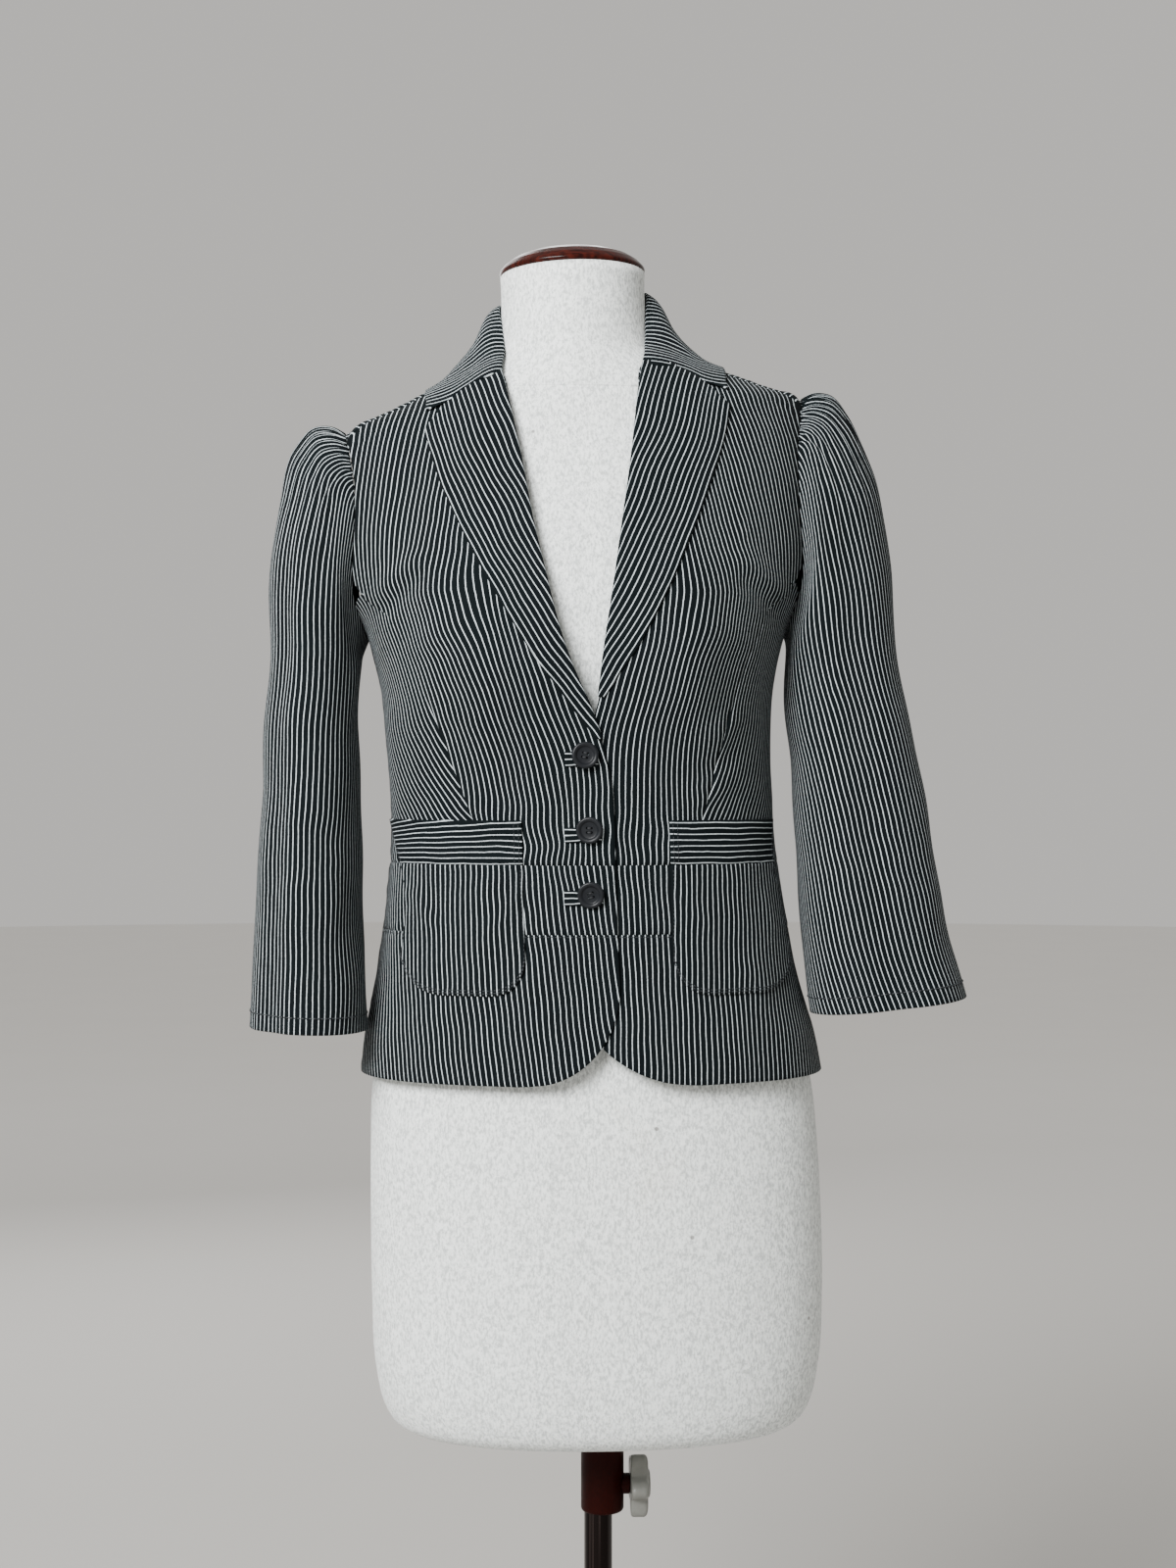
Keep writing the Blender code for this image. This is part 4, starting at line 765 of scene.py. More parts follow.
# Distances round the body over which each of these starts or dies out
SWIRL_RISE, SWIRL_FALL = (62 * MM, 106 * MM), (108 * MM, 152 * MM)
CROWDED_RISE, CROWDED_FALL = (55 * MM, 95 * MM), (150 * MM, 190 * MM)
EDGE_WEIGHT, SIDE_WEIGHT = (-5 * MM, 40 * MM), (60 * MM, 125 * MM)
EDGE_TOP = 1.005  # the front's edge keeps its stripes upright up to here
SKIRT_SEAM = 0.932
HEIGHTS = np.linspace(0.93, 1.34, 412)
WAIST, WAIST_REACH, WAIST_WAVER, WAIST_SEED = 0.945, 0.045, 0.85 * MM, 31
WAVER, WAVER_LENGTH, WAIST_LENGTH = 0.45 * MM, 42 * MM, 26 * MM
SEAM_SPREAD = {}  # side: heights and distances round the body of the front's outer edge


def axis_at(z):
    """The body's centre line, which leans a little."""
    return np.interp(z, *CENTRE_LINE)


def at_heights(table, z):
    """A table's values at some heights."""
    return np.interp(z / MM, *np.array(table, float).T)


def drift(table, z):
    """How far a stripe has moved outwards at a height, for a table of leans."""
    lean = np.tan(np.radians(at_heights(table, HEIGHTS)))
    return np.interp(z, HEIGHTS, np.cumsum(lean) * (HEIGHTS[1] - HEIGHTS[0]))


def outwards(points, side):
    """Each point's distance from the body's centre line, towards its own side."""
    return (points[..., 0] - axis_at(points[..., 2])) * OUTWARDS[side]


def spread(grid, side, start=None):
    """Distance round the body from its centre line, at one height."""
    inner = edge_first(grid, side)[0]
    begin = outwards(inner, side) if start is None else np.interp(inner[:, 2], *start)
    return begin[:, None] + edge_distances(grid * FLAT)[side]


def crowded(h, side):
    """Distances round the body, counted in stripes that lie closer towards the side."""
    far = np.linspace(0, 0.4, 401)
    closer = np.cumsum(1 + CROWDED[side] * (ease(far, *CROWDED_RISE) - ease(far, *CROWDED_FALL))) * far[1]
    return np.where(h > 0, np.interp(h, far, closer - closer[0]), h)


def leaning(h, z, side):
    """The front's stripes, at a distance round the body and a height."""
    centre, gain = drift(FRONT_LEAN[side], z), drift(SIDE_GAIN, z)
    upright = drift(FRONT_LEAN[side], np.minimum(z, EDGE_TOP)) * (1 - ease(h, *EDGE_WEIGHT))
    swirl = at_heights(SWIRL, z) * MM * ease(h, *SWIRL_RISE) * (1 - ease(h, *SWIRL_FALL))
    h = crowded(h, side)
    return h - centre + upright - gain * ease(h, *SIDE_WEIGHT) - swirl


def front_stripes(grid, side):
    h, z = spread(grid, side), grid[..., 2]
    SEAM_SPREAD[side] = [edge_first(field, OUTER[side])[0] for field in (z, h)]
    return leaning(h, z, side)


def side_stripes(grid, side):
    """The front's stripes as they run on round the side, turned where the dart took cloth out."""
    seam = SEAM_SPREAD[side]
    h, z = spread(grid, side, seam), grid[..., 2]
    heights = HEIGHTS[HEIGHTS < DART_TIP][::-1]
    lean = np.radians(at_heights(BEYOND_DART[side], heights))
    narrower = 1 - (1 - np.cos(lean)) * ease(DART_TIP - heights, 0, 0.03)
    down = heights[0] - heights[1]
    nearer = np.gradient(crowded(np.interp(heights, *seam), side))
    tip = np.interp(DART_TIP, *seam)
    at_seam = leaning(tip, DART_TIP, side) + np.cumsum(np.sin(lean) * down + narrower * nearer)
    below = np.interp(z, heights[::-1], at_seam[::-1])
    beyond = crowded(h, side) - crowded(np.interp(z, *seam), side)
    below += np.interp(z, heights[::-1], narrower[::-1]) * beyond
    below -= drift(SIDE_GAIN, DART_TIP) * (ease(h, *SIDE_WEIGHT) - ease(tip, *SIDE_WEIGHT))
    return np.where(z < DART_TIP, below, leaning(h, z, side))


def upright_stripes(grid, side, slope=0.0):
    return spread(grid, side) - slope * (grid[..., 2] - SKIRT_SEAM)


def centred_stripes(grid):
    across = run(grid * FLAT, 1)
    middle = [np.interp(-axis_at(row[:, 2].mean()), -row[:, 0], far) for row, far in zip(grid, across)]
    return across - np.array(middle)[:, None]


def cut_of(grid, across, seed=5, waver=WAVER, aside=0.0):
    """Each point's place on the flat cloth: across the stripes, and along them.

    The stripes waver a little everywhere, and more at the waist.
    """
    waist = np.exp(-(((grid[..., 2] - WAIST) / WAIST_REACH) ** 2)) * ease(-grid[..., 1], 0.03, 0.08)
    crumpled = WAIST_WAVER / WAVER * waist * ripple(grid * (0.5, 1, 1), WAIST_LENGTH, WAIST_SEED)
    uneven = waver * (ripple(grid, WAVER_LENGTH, seed) + crumpled)
    return np.stack([across + aside + uneven, run(grid, 0)], -1)


# Pieces

SURFACES = {}  # name: the points of the finished surface


def dress(obj, node, body=FORM):
    """Hangs a piece on what it rides on, and hides the solid that it stands for."""
    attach(obj, body)
    if node:
        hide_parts(node)


def worn(name, grid, cut, thickness=CLOTH, closed=False):
    """A sheet of cloth in place of the node of its name, if there is one.

    It measures its width, length and areas from its rows and columns, but nothing uses them.
    """
    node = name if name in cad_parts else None
    obj = shell(f"cloth_{name}" if node else name, grid, cut, thickness, closed)
    dress(obj, node)
    SURFACES[name] = grid
    around = around_axis(grid) if closed else grid
    width, length = run(around, 1)[:, -1].max(), run(around, 0)[-1].max()
    quads = np.linalg.norm(np.cross(np.diff(around, axis=1)[:-1], np.diff(around, axis=0)[:, :-1]), axis=2)


def cloth(node, across, seams, dart=(), step=STEP, waver=WAVER):
    """One panel with its creases and stripes. dart is the edge that the dart is in."""
    grid = widened(refined(grid_of(node), step), dart + (("top",) if node.startswith("side") else ()))
    made, aside = worked(grid, seams, open_above=dart)
    worn(node, made, cut_of(grid, across(grid), waver=waver, aside=aside))


SLOPE = {"right": 0.09, "left": -0.03}  # of the stripes on the waistband and the peplum


def body_panels():
    for side, outer in OUTER.items():
        cloth(f"front_{side}", lambda g: front_stripes(g, side), ("bottom", outer, "top"), (outer,))
        cloth(f"side_front_{side}", lambda g: side_stripes(g, side), ("bottom", side, outer), (side,))
        skirt = lambda g: upright_stripes(g, side, SLOPE[side])
        cloth(f"waistband_{side}", lambda g: skirt(g) + 1.3 * MM, ("bottom", "top", outer))
        cloth(f"peplum_{side}", lambda g: skirt(g) + 2.6 * MM, ("top", outer))
    cloth("back", centred_stripes, ("bottom",), step=BACK_STEP)
    cloth("waistband_back", lambda g: centred_stripes(g) + 1.1 * MM, ("bottom", "top", "left", "right"))
    cloth("peplum_back", lambda g: centred_stripes(g) + 2.2 * MM, ("top", "left", "right"))


SHOULDER_STRIP, SHOULDER_LEAN = (11 * MM, 0.3 * MM), 0.45  # the first from the front's top edge
SHOULDER_LIFT = (0.25, 0.55, 0.6, 0.6, 0.55, 0.45, 0.3)  # millimetres, for each row from the seam up


def shoulders():
    """The back's cloth where it comes forward over the shoulder, to the seam."""
    for side in OUTER:
        insets = np.linspace(*SHOULDER_STRIP, len(SHOULDER_LIFT))
        lines = [inset_line(SURFACES[f"front_{side}"], "top", inset) for inset in insets]
        grid = np.array([line + up * MM * ways for (line, ways), up in zip(lines, SHOULDER_LIFT)])
        grid = grid[:, :: -1 if grid[0, 0, 0] > grid[0, -1, 0] else 1]
        across = outwards(grid, side) - SHOULDER_LEAN * run(grid, 0)
        cut = cut_of(grid, across, 17, 0.2 * MM)
        worn(f"shoulder_{side}", grid, cut, STRIP_CLOTH)


LEAF_ROWS = 4  # rows of the collar's leaf that lie below its roll
LEAF_AT = (0.2, 0.4, 0.6, 0.8, 1.0)  # the rows of its roll, as shares of the way to its crest
NECK_CLEAR, NECK_REACH = 1.9 * MM, 0.3
COLLAR_SHIFT = (8.0, 6.5)  # millimetres that its crest may come in at the back, and how much less at its ends


def soft_fold(grid):
    """The collar's leaf with a full, round roll that comes down to the neck."""
    tree = tree_of("form_torso")
    low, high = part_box("neck_cap")
    axis = np.array([(low.x + high.x) / 2, 0, 0])
    away = ease(np.abs(np.linspace(-1, 1, grid.shape[1])), 0.55, 0.95)
    limit = (COLLAR_SHIFT[0] - COLLAR_SHIFT[1] * away) * MM
    start, tangent = grid[LEAF_ROWS - 1], unit(grid[LEAF_ROWS - 1] - grid[LEAF_ROWS - 2])
    out = unit((grid[-1] - axis) * FLAT)
    origin = axis + out * NECK_REACH + grid[-1] * (0, 0, 1)
    hit = np.array([tree.ray_cast(Vector(o), Vector(-way))[0] for o, way in zip(origin, out)])
    shift = np.clip(((grid[-1] - hit) * out).sum(1) - NECK_CLEAR, 0, limit)[:, None]
    crest = grid[-1] - shift * out - shift * (0, 0, 0.2)
    length = np.linalg.norm(crest - start, axis=1, keepdims=True)
    first = start + 0.38 * length * tangent
    second = crest + 0.42 * length * (0.9 * out - (0, 0, 0.43))
    t = np.array(LEAF_AT)[:, None, None]
    u = 1 - t
    leaf = u**3 * start + 3 * u * u * t * first + 3 * u * t * t * second + t**3 * crest
    return np.concatenate([grid[:LEAF_ROWS], leaf])


def rolled(grid, edge, radius, sweep, steps=6):
    """The grid with a roll added along one edge, which turns the cloth over and under."""
    rows, normal = edge_first(grid, edge), edge_first(normals(grid), edge)[0]
    way = unit(rows[0] - rows[1])
    way = unit(way - (way * normal).sum(1, keepdims=True) * normal)
    angles = (sweep * k / steps for k in range(steps, 0, -1))
    extra = [rows[0] + radius * (math.sin(a) * way - (1 - math.cos(a)) * normal) for a in angles]
    rows = np.concatenate([np.array(extra), rows])
    rows = rows[::-1] if edge in ("top", "right") else rows
    return np.swapaxes(rows, 0, 1) if edge in ("left", "right") else rows


LAPEL_ROLL, COLLAR_ROLL = (1.9 * MM, math.radians(165)), (1.3 * MM, math.radians(115))  # radius, turn
LAPEL_WIDER, LAPEL_SHIFT = 0.96, 0.9 * MM
COLLAR_OWN, COLLAR_MEAN = 0.35, 0.65  # a row's own length and the mean one, in the spacing of its stripes
COLLAR_SLOWS = (0.10, 25 * MM, 75 * MM)  # the stripes lie wider apart at the sides of the neck


def lapels_and_collar():
    for side, outer in OUTER.items():
        grid, _ = worked(refined(grid_of(f"lapel_{side}"), FINE_STEP), ("top",), 3)
        grid = rolled(grid, side, *LAPEL_ROLL)
        across = edge_distances(grid)[outer] * LAPEL_WIDER + LAPEL_SHIFT
        cut = cut_of(grid, across, 9, 0.6 * MM)
        worn(f"lapel_{side}", grid, cut, TURNED_CLOTH)
    grid, _ = worked(refined(soft_fold(grid_of("collar_fall")), FINE_STEP), (), 4)
    grid = rolled(grid, "top", *COLLAR_ROLL)
    across = run(grid, 1)
    lengths = across[:, -1:]
    even = (across / lengths - 0.5) * (COLLAR_OWN * lengths + COLLAR_MEAN * lengths.mean())
    far = np.linspace(0, 0.25, 251)
    slower = np.cumsum(1 - COLLAR_SLOWS[0] * ease(far, *COLLAR_SLOWS[1:])) * far[1]
    even = np.sign(even) * np.interp(np.abs(even), far, slower)
    worn("collar_fall", grid, cut_of(grid, even, 11, 0.4 * MM), TURNED_CLOTH)
    grid = refined(grid_of("collar_stand"), FINE_STEP)
    across = run(grid, 1)
    worn("collar_stand", grid, cut_of(grid, across - across[:, -1:] / 2))


SLEEVE_CREASES = {
    # angle round the sleeve (0 is its outer side, 90 its front), height, slope, half length, width, out
    "right": (
        (60, 1010, 0.15, 60, 9, 1.6),
        (20, 960, -0.2, 70, 10, -1.2),
        (100, 905, 0.1, 55, 8, 1.4),
        (-40, 1000, 0.2, 70, 10, 1.8),
        (-100, 940, -0.1, 80, 11, 1.6),
        (130, 1060, 0.3, 36, 8, 1.6),
    ),
    "left": (
        (70, 1000, 0.1, 80, 9, 1.5),
        (35, 930, -0.1, 80, 10, 1.5),
        (110, 900, 0.15, 60, 9, -1.3),
        (-30, 980, 0.15, 70, 11, 1.8),
        (-90, 900, -0.15, 80, 12, 1.8),
        (135, 1050, 0.3, 36, 8, 1.6),
    ),
}
SLEEVE_UNEVEN, SLEEVE_UNEVEN_LENGTH = 0.8 * MM, 80 * MM
HANG_FROM, SLEEVE_TOP = 1.03, 1.085  # from the first to the biceps, height comes to lead the stripes
LEVELS = 400  # heights at which a sleeve is measured round
CAP_ROUND = {"right": 70 * MM, "left": 46 * MM}  # this far below the crown, the cap starts to lead them round
CAP_FULL, CAP_FULL_WIDTH, CAP_FULL_REACH = 14 * MM, 40 * MM, 16 * MM  # cloth drawn up beside the crown
SLEEVE_FOOT, SLEEVE_TURN = 0.82, 0.03  # a height, and how far a stripe turns for its distance from there
GATHER_LENGTH, GATHER_OUT, GATHER_REACH = 6.5 * MM, 1.0 * MM, 17 * MM


def from_underarm(grid):
    """The tube with its first column at the underarm, and each column's distance round the armhole."""
    arc = run(around_axis(grid), 1)[-1]
    top = grid[-1, :, 2].argmax()
    under = np.argmin(np.abs((arc[:-1] - arc[top]) % arc[-1] - arc[-1] / 2))
    grid = np.roll(grid, -under, axis=1)
    arc = run(around_axis(grid), 1)[-1]
    return grid, arc - arc[grid[-1, :, 2].argmax()]


def hanging(grid, crown):
    """How far each point is from the crown's line, round the sleeve at its own height."""
    heights = np.maximum.accumulate(grid[..., 2], axis=0)
    levels = np.linspace(heights.min(), heights.max(), LEVELS)
    columns = range(grid.shape[1])
    far = run(np.array([read_line(levels, heights[:, j], grid[:, j]) for j in columns]), 0)
    far -= far[crown]
    return np.stack([np.interp(heights[:, j], levels, far[j]) for j in columns], axis=1)


def soothed(field, times=8):
    for _ in range(times):
        field[1:-1] = (field[:-2] + 2 * field[1:-1] + field[2:]) / 4
        field[:, 1:-1] = (field[:, :-2] + 2 * field[:, 1:-1] + field[:, 2:]) / 4
    return field


def sleeves():
    for side, sign in OUTWARDS.items():
        grid, arc = from_underarm(refined(tube_of(f"sleeve_{side}"), FINE_STEP, closed=True))
        closed = around_axis(grid)
        crown = grid[-1, :, 2].argmax()
        level = grid[:, :, 2].mean(1)
        biceps = np.argmin(np.abs(level - SLEEVE_TOP))
        away = closed - read_line(closed[..., 2], level[: biceps + 1], grid[: biceps + 1].mean(1))
        turned = np.unwrap(np.arctan2(-away[..., 1], away[..., 0] * sign), axis=1)
        turned += (np.unwrap(turned[:, 0]) - turned[:, 0])[:, None]
        up, along_row = run(closed, 0), run(closed, 1)
        size = along_row[:, -1:] / (2 * math.pi)
        across = size * (turned - turned[biceps, crown])
        way = np.sign(across[biceps, -1] - across[biceps, 0])
        crown_line = across[np.minimum(range(len(grid)), biceps), crown][:, None]
        along_row = crown_line + way * (along_row - along_row[:, crown : crown + 1])
        hung = crown_line + way * soothed(hanging(closed, crown))
        across = along_row + ease(level, HANG_FROM, SLEEVE_TOP)[:, None] * (hung - along_row)
        below, to_top = closed[..., 2].max() - closed[..., 2], up[-1:] - up
        across += (1 - ease(below, 4 * MM, CAP_ROUND[side])) * (along_row - across)
        full = np.sign(arc) * (1 - np.exp(-np.abs(arc) / CAP_FULL_WIDTH)) * np.exp(-to_top / CAP_FULL_REACH)
        across += way * CAP_FULL * full - SLEEVE_TURN * sign * (closed[..., 2] - SLEEVE_FOOT)
        out = SLEEVE_UNEVEN * ripple(grid, SLEEVE_UNEVEN_LENGTH, 21)
        for at, height, slope, reach, width, far in SLEEVE_CREASES[side]:
            rise = grid[..., 2] - height * MM
            turn = (turned[:, :-1] - math.radians(at) + math.pi) % (2 * math.pi) - math.pi
            aside = (turn * size - slope * rise) / (width * MM)
            out += far * MM * np.exp(-(aside**2) - (rise / (reach * MM)) ** 2)
        top = 1 - ease(np.abs(arc[:-1]) / np.abs(arc).max(), 0.25, 0.55)
        turn = 2 * math.pi * arc[:-1] / GATHER_LENGTH
        wave = np.cos(turn) + 0.6 * np.cos(1.35 * turn + 1)
        out += GATHER_OUT * top * wave * np.exp(-to_top[:, :-1] / GATHER_REACH)
        made = grid + out[..., None] * normals(grid, closed=True)
        cut = cut_of(closed, across, 13, 0.22 * MM)
        worn(f"sleeve_{side}", made, cut, closed=True)


def pockets():
    for side in OUTER:
        cloth(
            f"pocket_{side}", lambda g: upright_stripes(g, side, 0.02) + 3.4 * MM,
            ("left", "right", "bottom"), step=FINE_STEP, waver=0.3 * MM,
        )
        cloth(
            f"pocket_band_{side}", lambda g: run(g, 0) + 1.2 * MM, ("bottom",),
            step=FINE_STEP, waver=0.15 * MM,
        )


def buttonholes():
    for number in (1, 2, 3):
        grid = refined(grid_of(f"buttonhole_{number}"), LIP_STEP)
        up = run(grid, 0)
        fan = (up - up[-1:] / 2) * (1.0 + 0.25 * ease(run(grid, 1), 0, 0.02)) + 0.5 * STRIPE
        worn(f"buttonhole_{number}", grid, cut_of(grid, fan, 5, 0.1 * MM), LIP_CLOTH)


# Buttons, with profiles in millimetres as (radius, height)

BUTTON_PROFILE = (
    (0.0, 2.0), (3.6, 1.95), (5.9, 2.15), (6.6, 2.9), (7.4, 3.5), (8.6, 3.75), (9.5, 3.3), (9.95, 2.4),
    (9.9, 1.5), (9.2, 0.6), (6.0, 0.05), (0.0, 0.0),
)
HOLE_REACH, HOLE_RADIUS = 2.3, 0.95
HOLE_PROFILE = ((0.0, 6.0), (HOLE_RADIUS, 6.0), (HOLE_RADIUS, -4.0), (0.0, -4.0))
STRAND_RADIUS, STRAND_SHIFTS, STRAND_SIDES, STRAND_POINTS = 0.17, (-0.28, 0.0, 0.28), 6, 9


def button_place(number):
    """The button's foot and the way it faces, from the CAD button's own flat back."""
    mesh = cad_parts[f"button_{number}"].data
    points = np.array([vert.co for vert in mesh.vertices])
    middle = (points.min(0) + points.max(0)) / 2
    back = max(mesh.polygons, key=lambda face: face.area * (face.normal.y > 0.5))
    way = -np.array(back.normal)
    return middle + way * ((np.array(back.center) - middle) @ way), unit(way)


def strand(start, end, shift, foot, axes):
    """One turn of thread between two holes, arched over the button: a round tube with closed ends."""
    t = np.linspace(0, 1, STRAND_POINTS)[:, None]
    side = np.array([start[1] - end[1], end[0] - start[0]]) / np.linalg.norm(end - start)
    flat = start + (end - start) * t + side * shift
    line = foot + np.hstack([flat, 1.2 + 1.25 * np.sin(math.pi * t)]) * MM @ axes
    along = unit(np.gradient(line, axis=0))
    first = unit(np.cross(along, unit(np.array([0.31, 0.87, 0.39]))))
    angle = np.arange(STRAND_SIDES)[None, :, None] * 2 * math.pi / STRAND_SIDES
    ring = np.cos(angle) * first[:, None] + np.sin(angle) * np.cross(along, first)[:, None]
    rings = numbered(STRAND_POINTS, STRAND_SIDES)
    faces = bands(rings, turned=True) + [rings[0][::-1], rings[-1]]
    return (line[:, None] + STRAND_RADIUS * MM * ring).reshape(-1, 3), faces


def buttons():
    profile = softened(np.array(BUTTON_PROFILE) * MM, 0.4 * MM)
    for number in (1, 2, 3):
        foot, way = button_place(number)
        across = unit(np.cross((0.0, 0.0, 1.0), way))
        axes = np.stack([across, np.cross(way, across), way])
        points, faces = lathe(profile, 56)
        obj = joined_mesh(f"turned_button_{number}", [(foot + points @ axes, faces)], "button_plastic")
        angles = np.radians([45 + 90 * corner + 14 * (number - 2) for corner in range(4)])
        spots = HOLE_REACH * np.stack([np.cos(angles), np.sin(angles)], 1)
        rim, rim_faces = lathe(HOLE_PROFILE, 20)
        cutters = [(foot + (rim + (x, y, 0.0)) * MM @ axes, rim_faces) for x, y in spots]
        cutter = joined_mesh(f"holes_{number}", cutters, "button_plastic", smooth=False)
        cut = obj.modifiers.new("holes", "BOOLEAN")
        cut.operation, cut.object, cut.solver = "DIFFERENCE", cutter, "EXACT"
        mesh = bpy.data.meshes.new_from_object(obj.evaluated_get(bpy.context.evaluated_depsgraph_get()))
        obj.modifiers.clear()
        obj.data = mesh
        mesh.set_sharp_from_angle(angle=math.radians(35))
        bpy.data.objects.remove(cutter)
        dress(obj, f"button_{number}")
        pairs = [(spots[a], spots[b], shift) for a, b in ((0, 1), (3, 2)) for shift in STRAND_SHIFTS]
        strands = [strand(*pair, foot, axes) for pair in pairs]
        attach(joined_mesh(f"button_thread_{number}", strands, "button_thread"), FORM)


def seams_and_stitches():
    """The dark topstitching."""
    rows = {"pocket_stitches": [], "seam_stitches": [], "cuff_stitches": []}

    def add(kind, surface, edge, *insets, **size):
        for inset in insets:
            line = inset_line(SURFACES[surface], edge, inset * MM)
            rows[f"{kind}_stitches"].append(stitches(*line, **size))

    for side, outer in OUTER.items():
        add("seam", f"peplum_{side}", "top", 1.6)
        add("pocket", f"pocket_{side}", "bottom", 1.6, 3.6, radius=0.42 * MM)
        add("pocket", f"pocket_{side}", "left", 1.6)
        add("pocket", f"pocket_{side}", "right", 1.6)
        add("pocket", f"pocket_band_{side}", side, 2.0, 5.5)
        add("pocket", f"pocket_band_{side}", outer, 2.0)
        cuff = inset_line(SURFACES[f"sleeve_{side}"], "bottom", CUFF_INSET, closed=True)
        cuff = [np.vstack([part, part[:1]]) for part in cuff]
        rows["cuff_stitches"].append(stitches(*cuff, length=2.5 * MM, radius=0.55 * MM))
    add("seam", "peplum_back", "top", 1.6)
    for name, parts in rows.items():
        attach(joined_mesh(name, parts, "dark_thread"), FORM)


FOOT_INSETS, HOLLOW_HEIGHT, NECK_INSET = (0.13, 0.45, 0.8, 0.95), 0.3, 0.5


def dress_form():
    """The padded form, with its foot drawn in to the hollow that the pole goes up."""
    grid = refined(tube_of("form_torso"), FORM_STEP, closed=True)
    columns = grid.shape[1]
    neck, foot = grid[-1].mean(0), grid[0].mean(0) * (0, 0, 1)
    inset = [foot + (grid[0] - foot) * share for share in FOOT_INSETS]
    rows = np.concatenate([np.array(inset), grid, (neck + (grid[-1] - neck) * NECK_INSET)[None]])
    hollow = np.array([rows[0], rows[0] + (0, 0, HOLLOW_HEIGHT)])
    rings = numbered(len(rows), columns)
    inner = numbered(2, columns, len(rows) * columns)
    faces = bands(rings, turned=True) + bands(inner, turned=True) + bands([rings[0], inner[0]])
    faces += [rings[-1], inner[-1][::-1]]
    points = np.vstack([rows.reshape(-1, 3), hollow.reshape(-1, 3)])
    dress(joined_mesh("padded_form", [(points, faces)], "form_jersey"), "form_torso")


# The stand, with profiles in millimetres as (radius, height)

CAP_DOME = (
    (0, 19.5), (12, 19.3), (24, 18.2), (36, 15.9), (46, 12.3), (52.5, 8.0), (55.6, 4.6), (56.8, 2.8),
    (56.6, 1.2), (55.6, 0.0), (0, 0.0),
)
CAP_FOOT, CAP_TILT = 1.3888, math.atan(0.03)
BASE_PLATE = (
    (11.4, 39.6), (13.0, 40.0), (20.0, 40.0), (22.0, 38.0), (22.0, 19.0), (23.2, 15.4), (27.0, 13.0),
    (60.0, 11.7), (110.0, 10.2), (146.0, 9.0), (152.0, 7.6), (154.6, 5.0), (154.8, 2.4), (153.0, 0.0),
    (11.4, 0.0), (11.4, 39.6),
)
POLE = ((0, 800), (9.4, 800), (11, 798.4), (11, 6.3), (0, 6.3))
SOCKET_PROFILE = (
    (11.5, 492.4), (16.0, 492.7), (16.75, 491.8), (16.75, 427.2), (16.2, 425.6), (14.9, 425.0), (11.5, 425.0),
    (11.5, 492.4),
)
SOCKET_OFFSET, BOSS_RADIUS, BOSS_ROOT, BOSS_END, BOSS_BEVEL, KNOB_HEIGHT = 3.3, 8.0, 15.0, 24.7, 0.6, 445.0
KNOB_LOBES, KNOB_RADIUS, LOBE, KNOB_SIDES = 5, 20.5, 4.8, 160
# Distance out from the boss, share of the knob's outline, how much of its lobes
KNOB_ROWS = (
    (0.3, 0.0, 1.0), (0.3, 0.84, 1.0), (0.5, 0.93, 1.0), (1.0, 0.97, 1.0), (1.8, 0.99, 1.0),
    (3.0, 1.0, 1.0), (10.6, 1.0, 1.0), (11.8, 0.985, 1.0), (12.9, 0.94, 1.0), (13.6, 0.87, 1.0),
    (14.0, 0.78, 1.0), (14.15, 0.62, 0.6), (14.3, 0.54, 0.0), (15.3, 0.51, 0.0), (15.8, 0.45, 0.0),
    (15.95, 0.3, 0.0), (15.95, 0.0, 0.0),
)


def hard_piece(name, node, parts, slot, body, sharp=40, weld=False):
    """A piece of the stand, with its edges sharp where it turns by more than this many degrees."""
    obj = joined_mesh(name, parts, slot)
    if weld:
        made = welded(obj.data)
        bmesh.ops.recalc_face_normals(made, faces=made.faces)
        made.to_mesh(obj.data)
        made.free()
    obj.data.set_sharp_from_angle(angle=math.radians(sharp))
    dress(obj, node, body)


def turned(profile, sides=72):
    return lathe(softened(np.array(profile) * MM), sides)


def stand():
    low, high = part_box("neck_cap")
    c, s = math.cos(CAP_TILT), math.sin(CAP_TILT)
    points, faces = turned(CAP_DOME)
    points = points @ np.array([[c, 0, s], [0, 1, 0], [-s, 0, c]]) + ((low.x + high.x) / 2, 0.0, CAP_FOOT)
    hard_piece("turned_cap", "neck_cap", [(points, faces)], "cap_wood", FORM)
    hard_piece("pole_tube", "pole", [turned(POLE)], "pole_steel", STAND)
    hard_piece("base_plate", "base", [turned(BASE_PLATE, 96)], "base_steel", STAND)


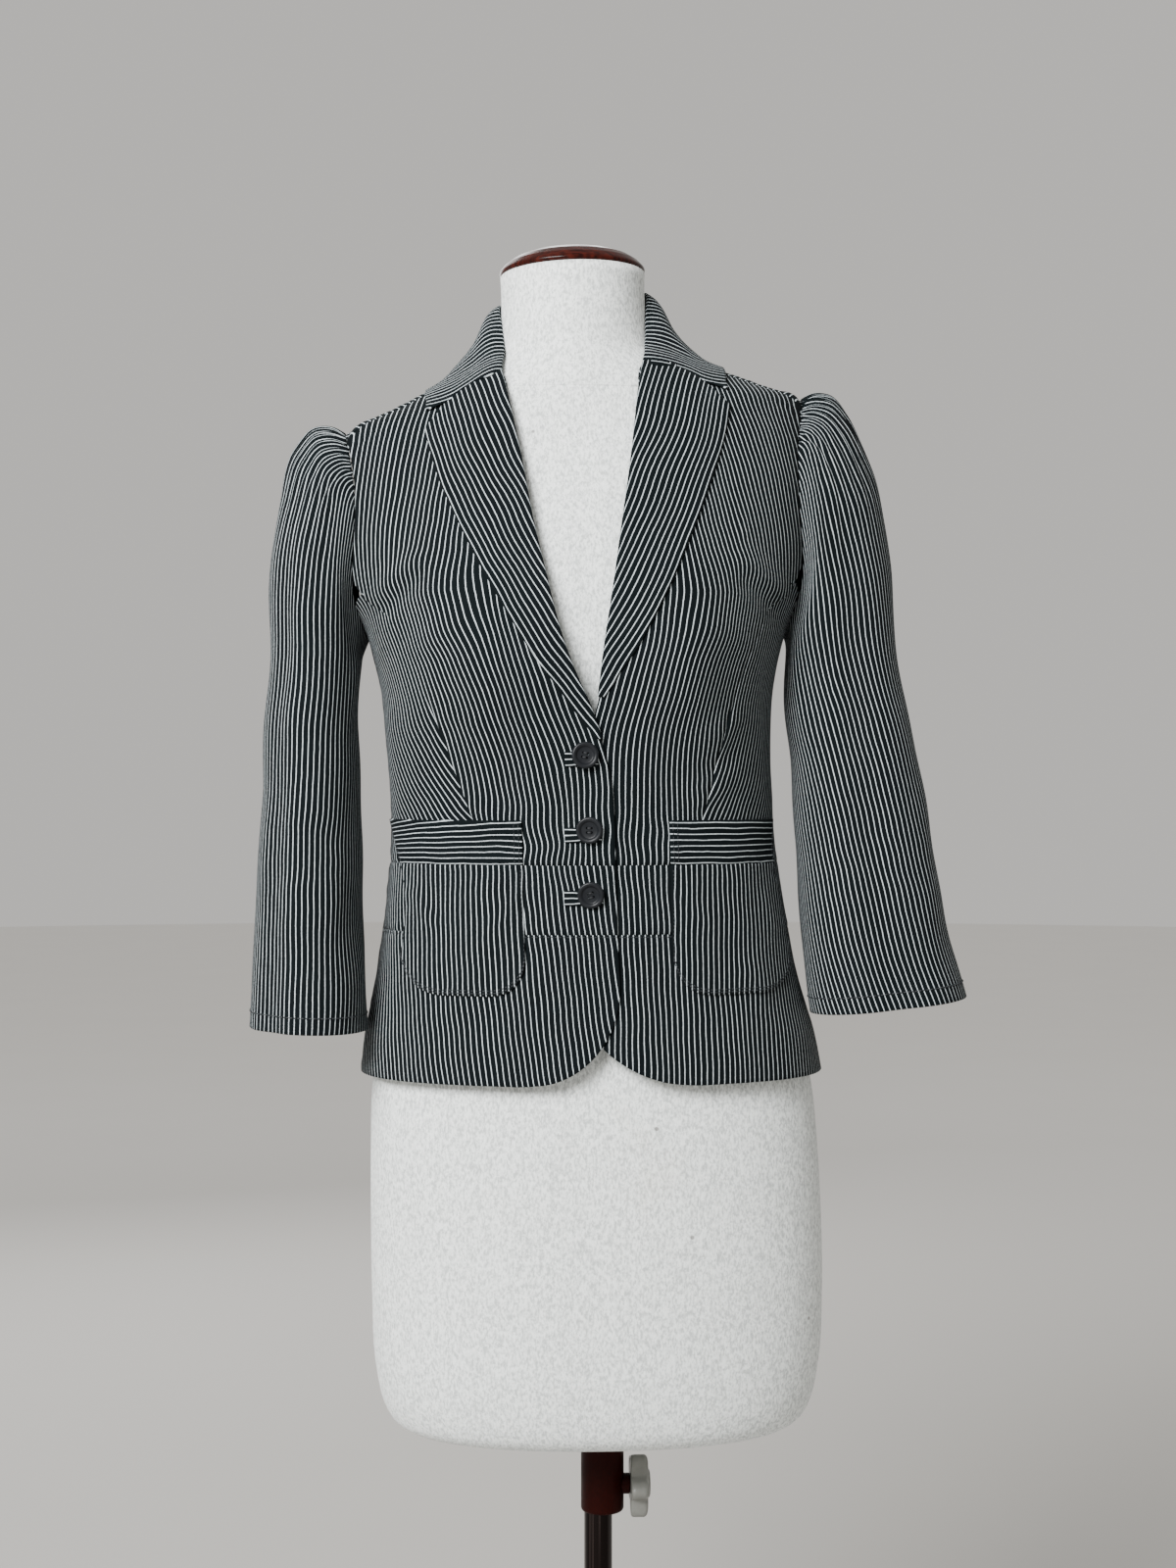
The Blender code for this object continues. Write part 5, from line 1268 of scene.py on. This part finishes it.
def socket_and_knob():
    """The socket under the torso with the boss of its clamp, and the clamp's lobed knob."""
    points, faces = turned(SOCKET_PROFILE)
    lengths = (BOSS_END, BOSS_END, BOSS_END - BOSS_BEVEL, BOSS_ROOT, BOSS_ROOT)
    radii = (0.0, BOSS_RADIUS - BOSS_BEVEL, BOSS_RADIUS, BOSS_RADIUS, 0.0)
    boss, boss_faces = lathe(np.stack([radii, lengths], 1) * MM, 48)
    boss = boss[:, [2, 1, 0]] * (1, 1, -1) + (0, 0, KNOB_HEIGHT * MM)
    parts = [(points + (SOCKET_OFFSET * MM, 0, 0), faces), (boss, boss_faces)]
    hard_piece("clamp_socket", "socket", parts, "socket_plastic", FORM)
    angle = np.arange(KNOB_SIDES) * 2 * math.pi / KNOB_SIDES
    rows = []
    for out, share, lobed in KNOB_ROWS:
        reach = share * (KNOB_RADIUS + lobed * LOBE * np.cos(KNOB_LOBES * angle))
        x = np.full(KNOB_SIDES, BOSS_END + out)
        rows.append(np.stack([x, -reach * np.cos(angle), KNOB_HEIGHT - reach * np.sin(angle)], 1))
    knob = (np.vstack(rows) * MM, bands(numbered(len(rows), KNOB_SIDES), turned=True))
    hard_piece("lobed_knob", "clamp_knob", [knob], "knob_plastic", KNOB, sharp=50, weld=True)


# name, place, aim, size, power
LIGHTS = (
    ("key", (-1.3, -1.95, 2.25), (0, 0, 1.05), 1.2, 200),
    ("back", (-0.8, 2.6, 2.2), (0, 0, 1.0), 2.2, 46),
)
FLOOR_PROFILE = ((0.0, 0.0), (2.0, 0.0), (6.0, 0.0), (14.0, 0.0), (14.0, -0.05), (0.0, -0.05))


def studio():
    world = bpy.data.worlds.new("studio")
    bpy.context.scene.world = world
    world.use_nodes = True
    world.node_tree.nodes["Background"].inputs["Color"].default_value = (*BACKGROUND, 1)
    world.node_tree.nodes["Background"].inputs["Strength"].default_value = 1.0
    for name, place, aim, size, power in LIGHTS:
        light = bpy.data.lights.new(name, "AREA")
        light.energy, light.size = power, size
        obj = bpy.data.objects.new(name, light)
        obj.location = place
        obj.rotation_euler = (Vector(aim) - Vector(place)).to_track_quat("-Z", "Y").to_euler()
        bpy.context.scene.collection.objects.link(obj)
    joined_mesh("floor", [lathe(FLOOR_PROFILE, 96)], "pale_floor", smooth=False)


def camera():
    data = bpy.data.cameras.new("camera")
    data.sensor_fit, data.sensor_height = "VERTICAL", SENSOR
    data.lens = SENSOR * FOCAL_PIXELS / PICTURE_HEIGHT
    obj = bpy.data.objects.new("camera", data)
    c, s = math.cos(CAMERA_TURN), math.sin(CAMERA_TURN)
    obj.location = (CAMERA_SIDE - CAMERA_AWAY * s, -CAMERA_AWAY * c, CAMERA_HEIGHT)
    obj.rotation_euler = (math.pi / 2, 0, -CAMERA_TURN)
    bpy.context.scene.collection.objects.link(obj)
    bpy.context.scene.camera = obj


camera()
body_panels()
shoulders()
lapels_and_collar()
sleeves()
pockets()
buttonholes()
buttons()
seams_and_stitches()
dress_form()
stand()
socket_and_knob()
studio()
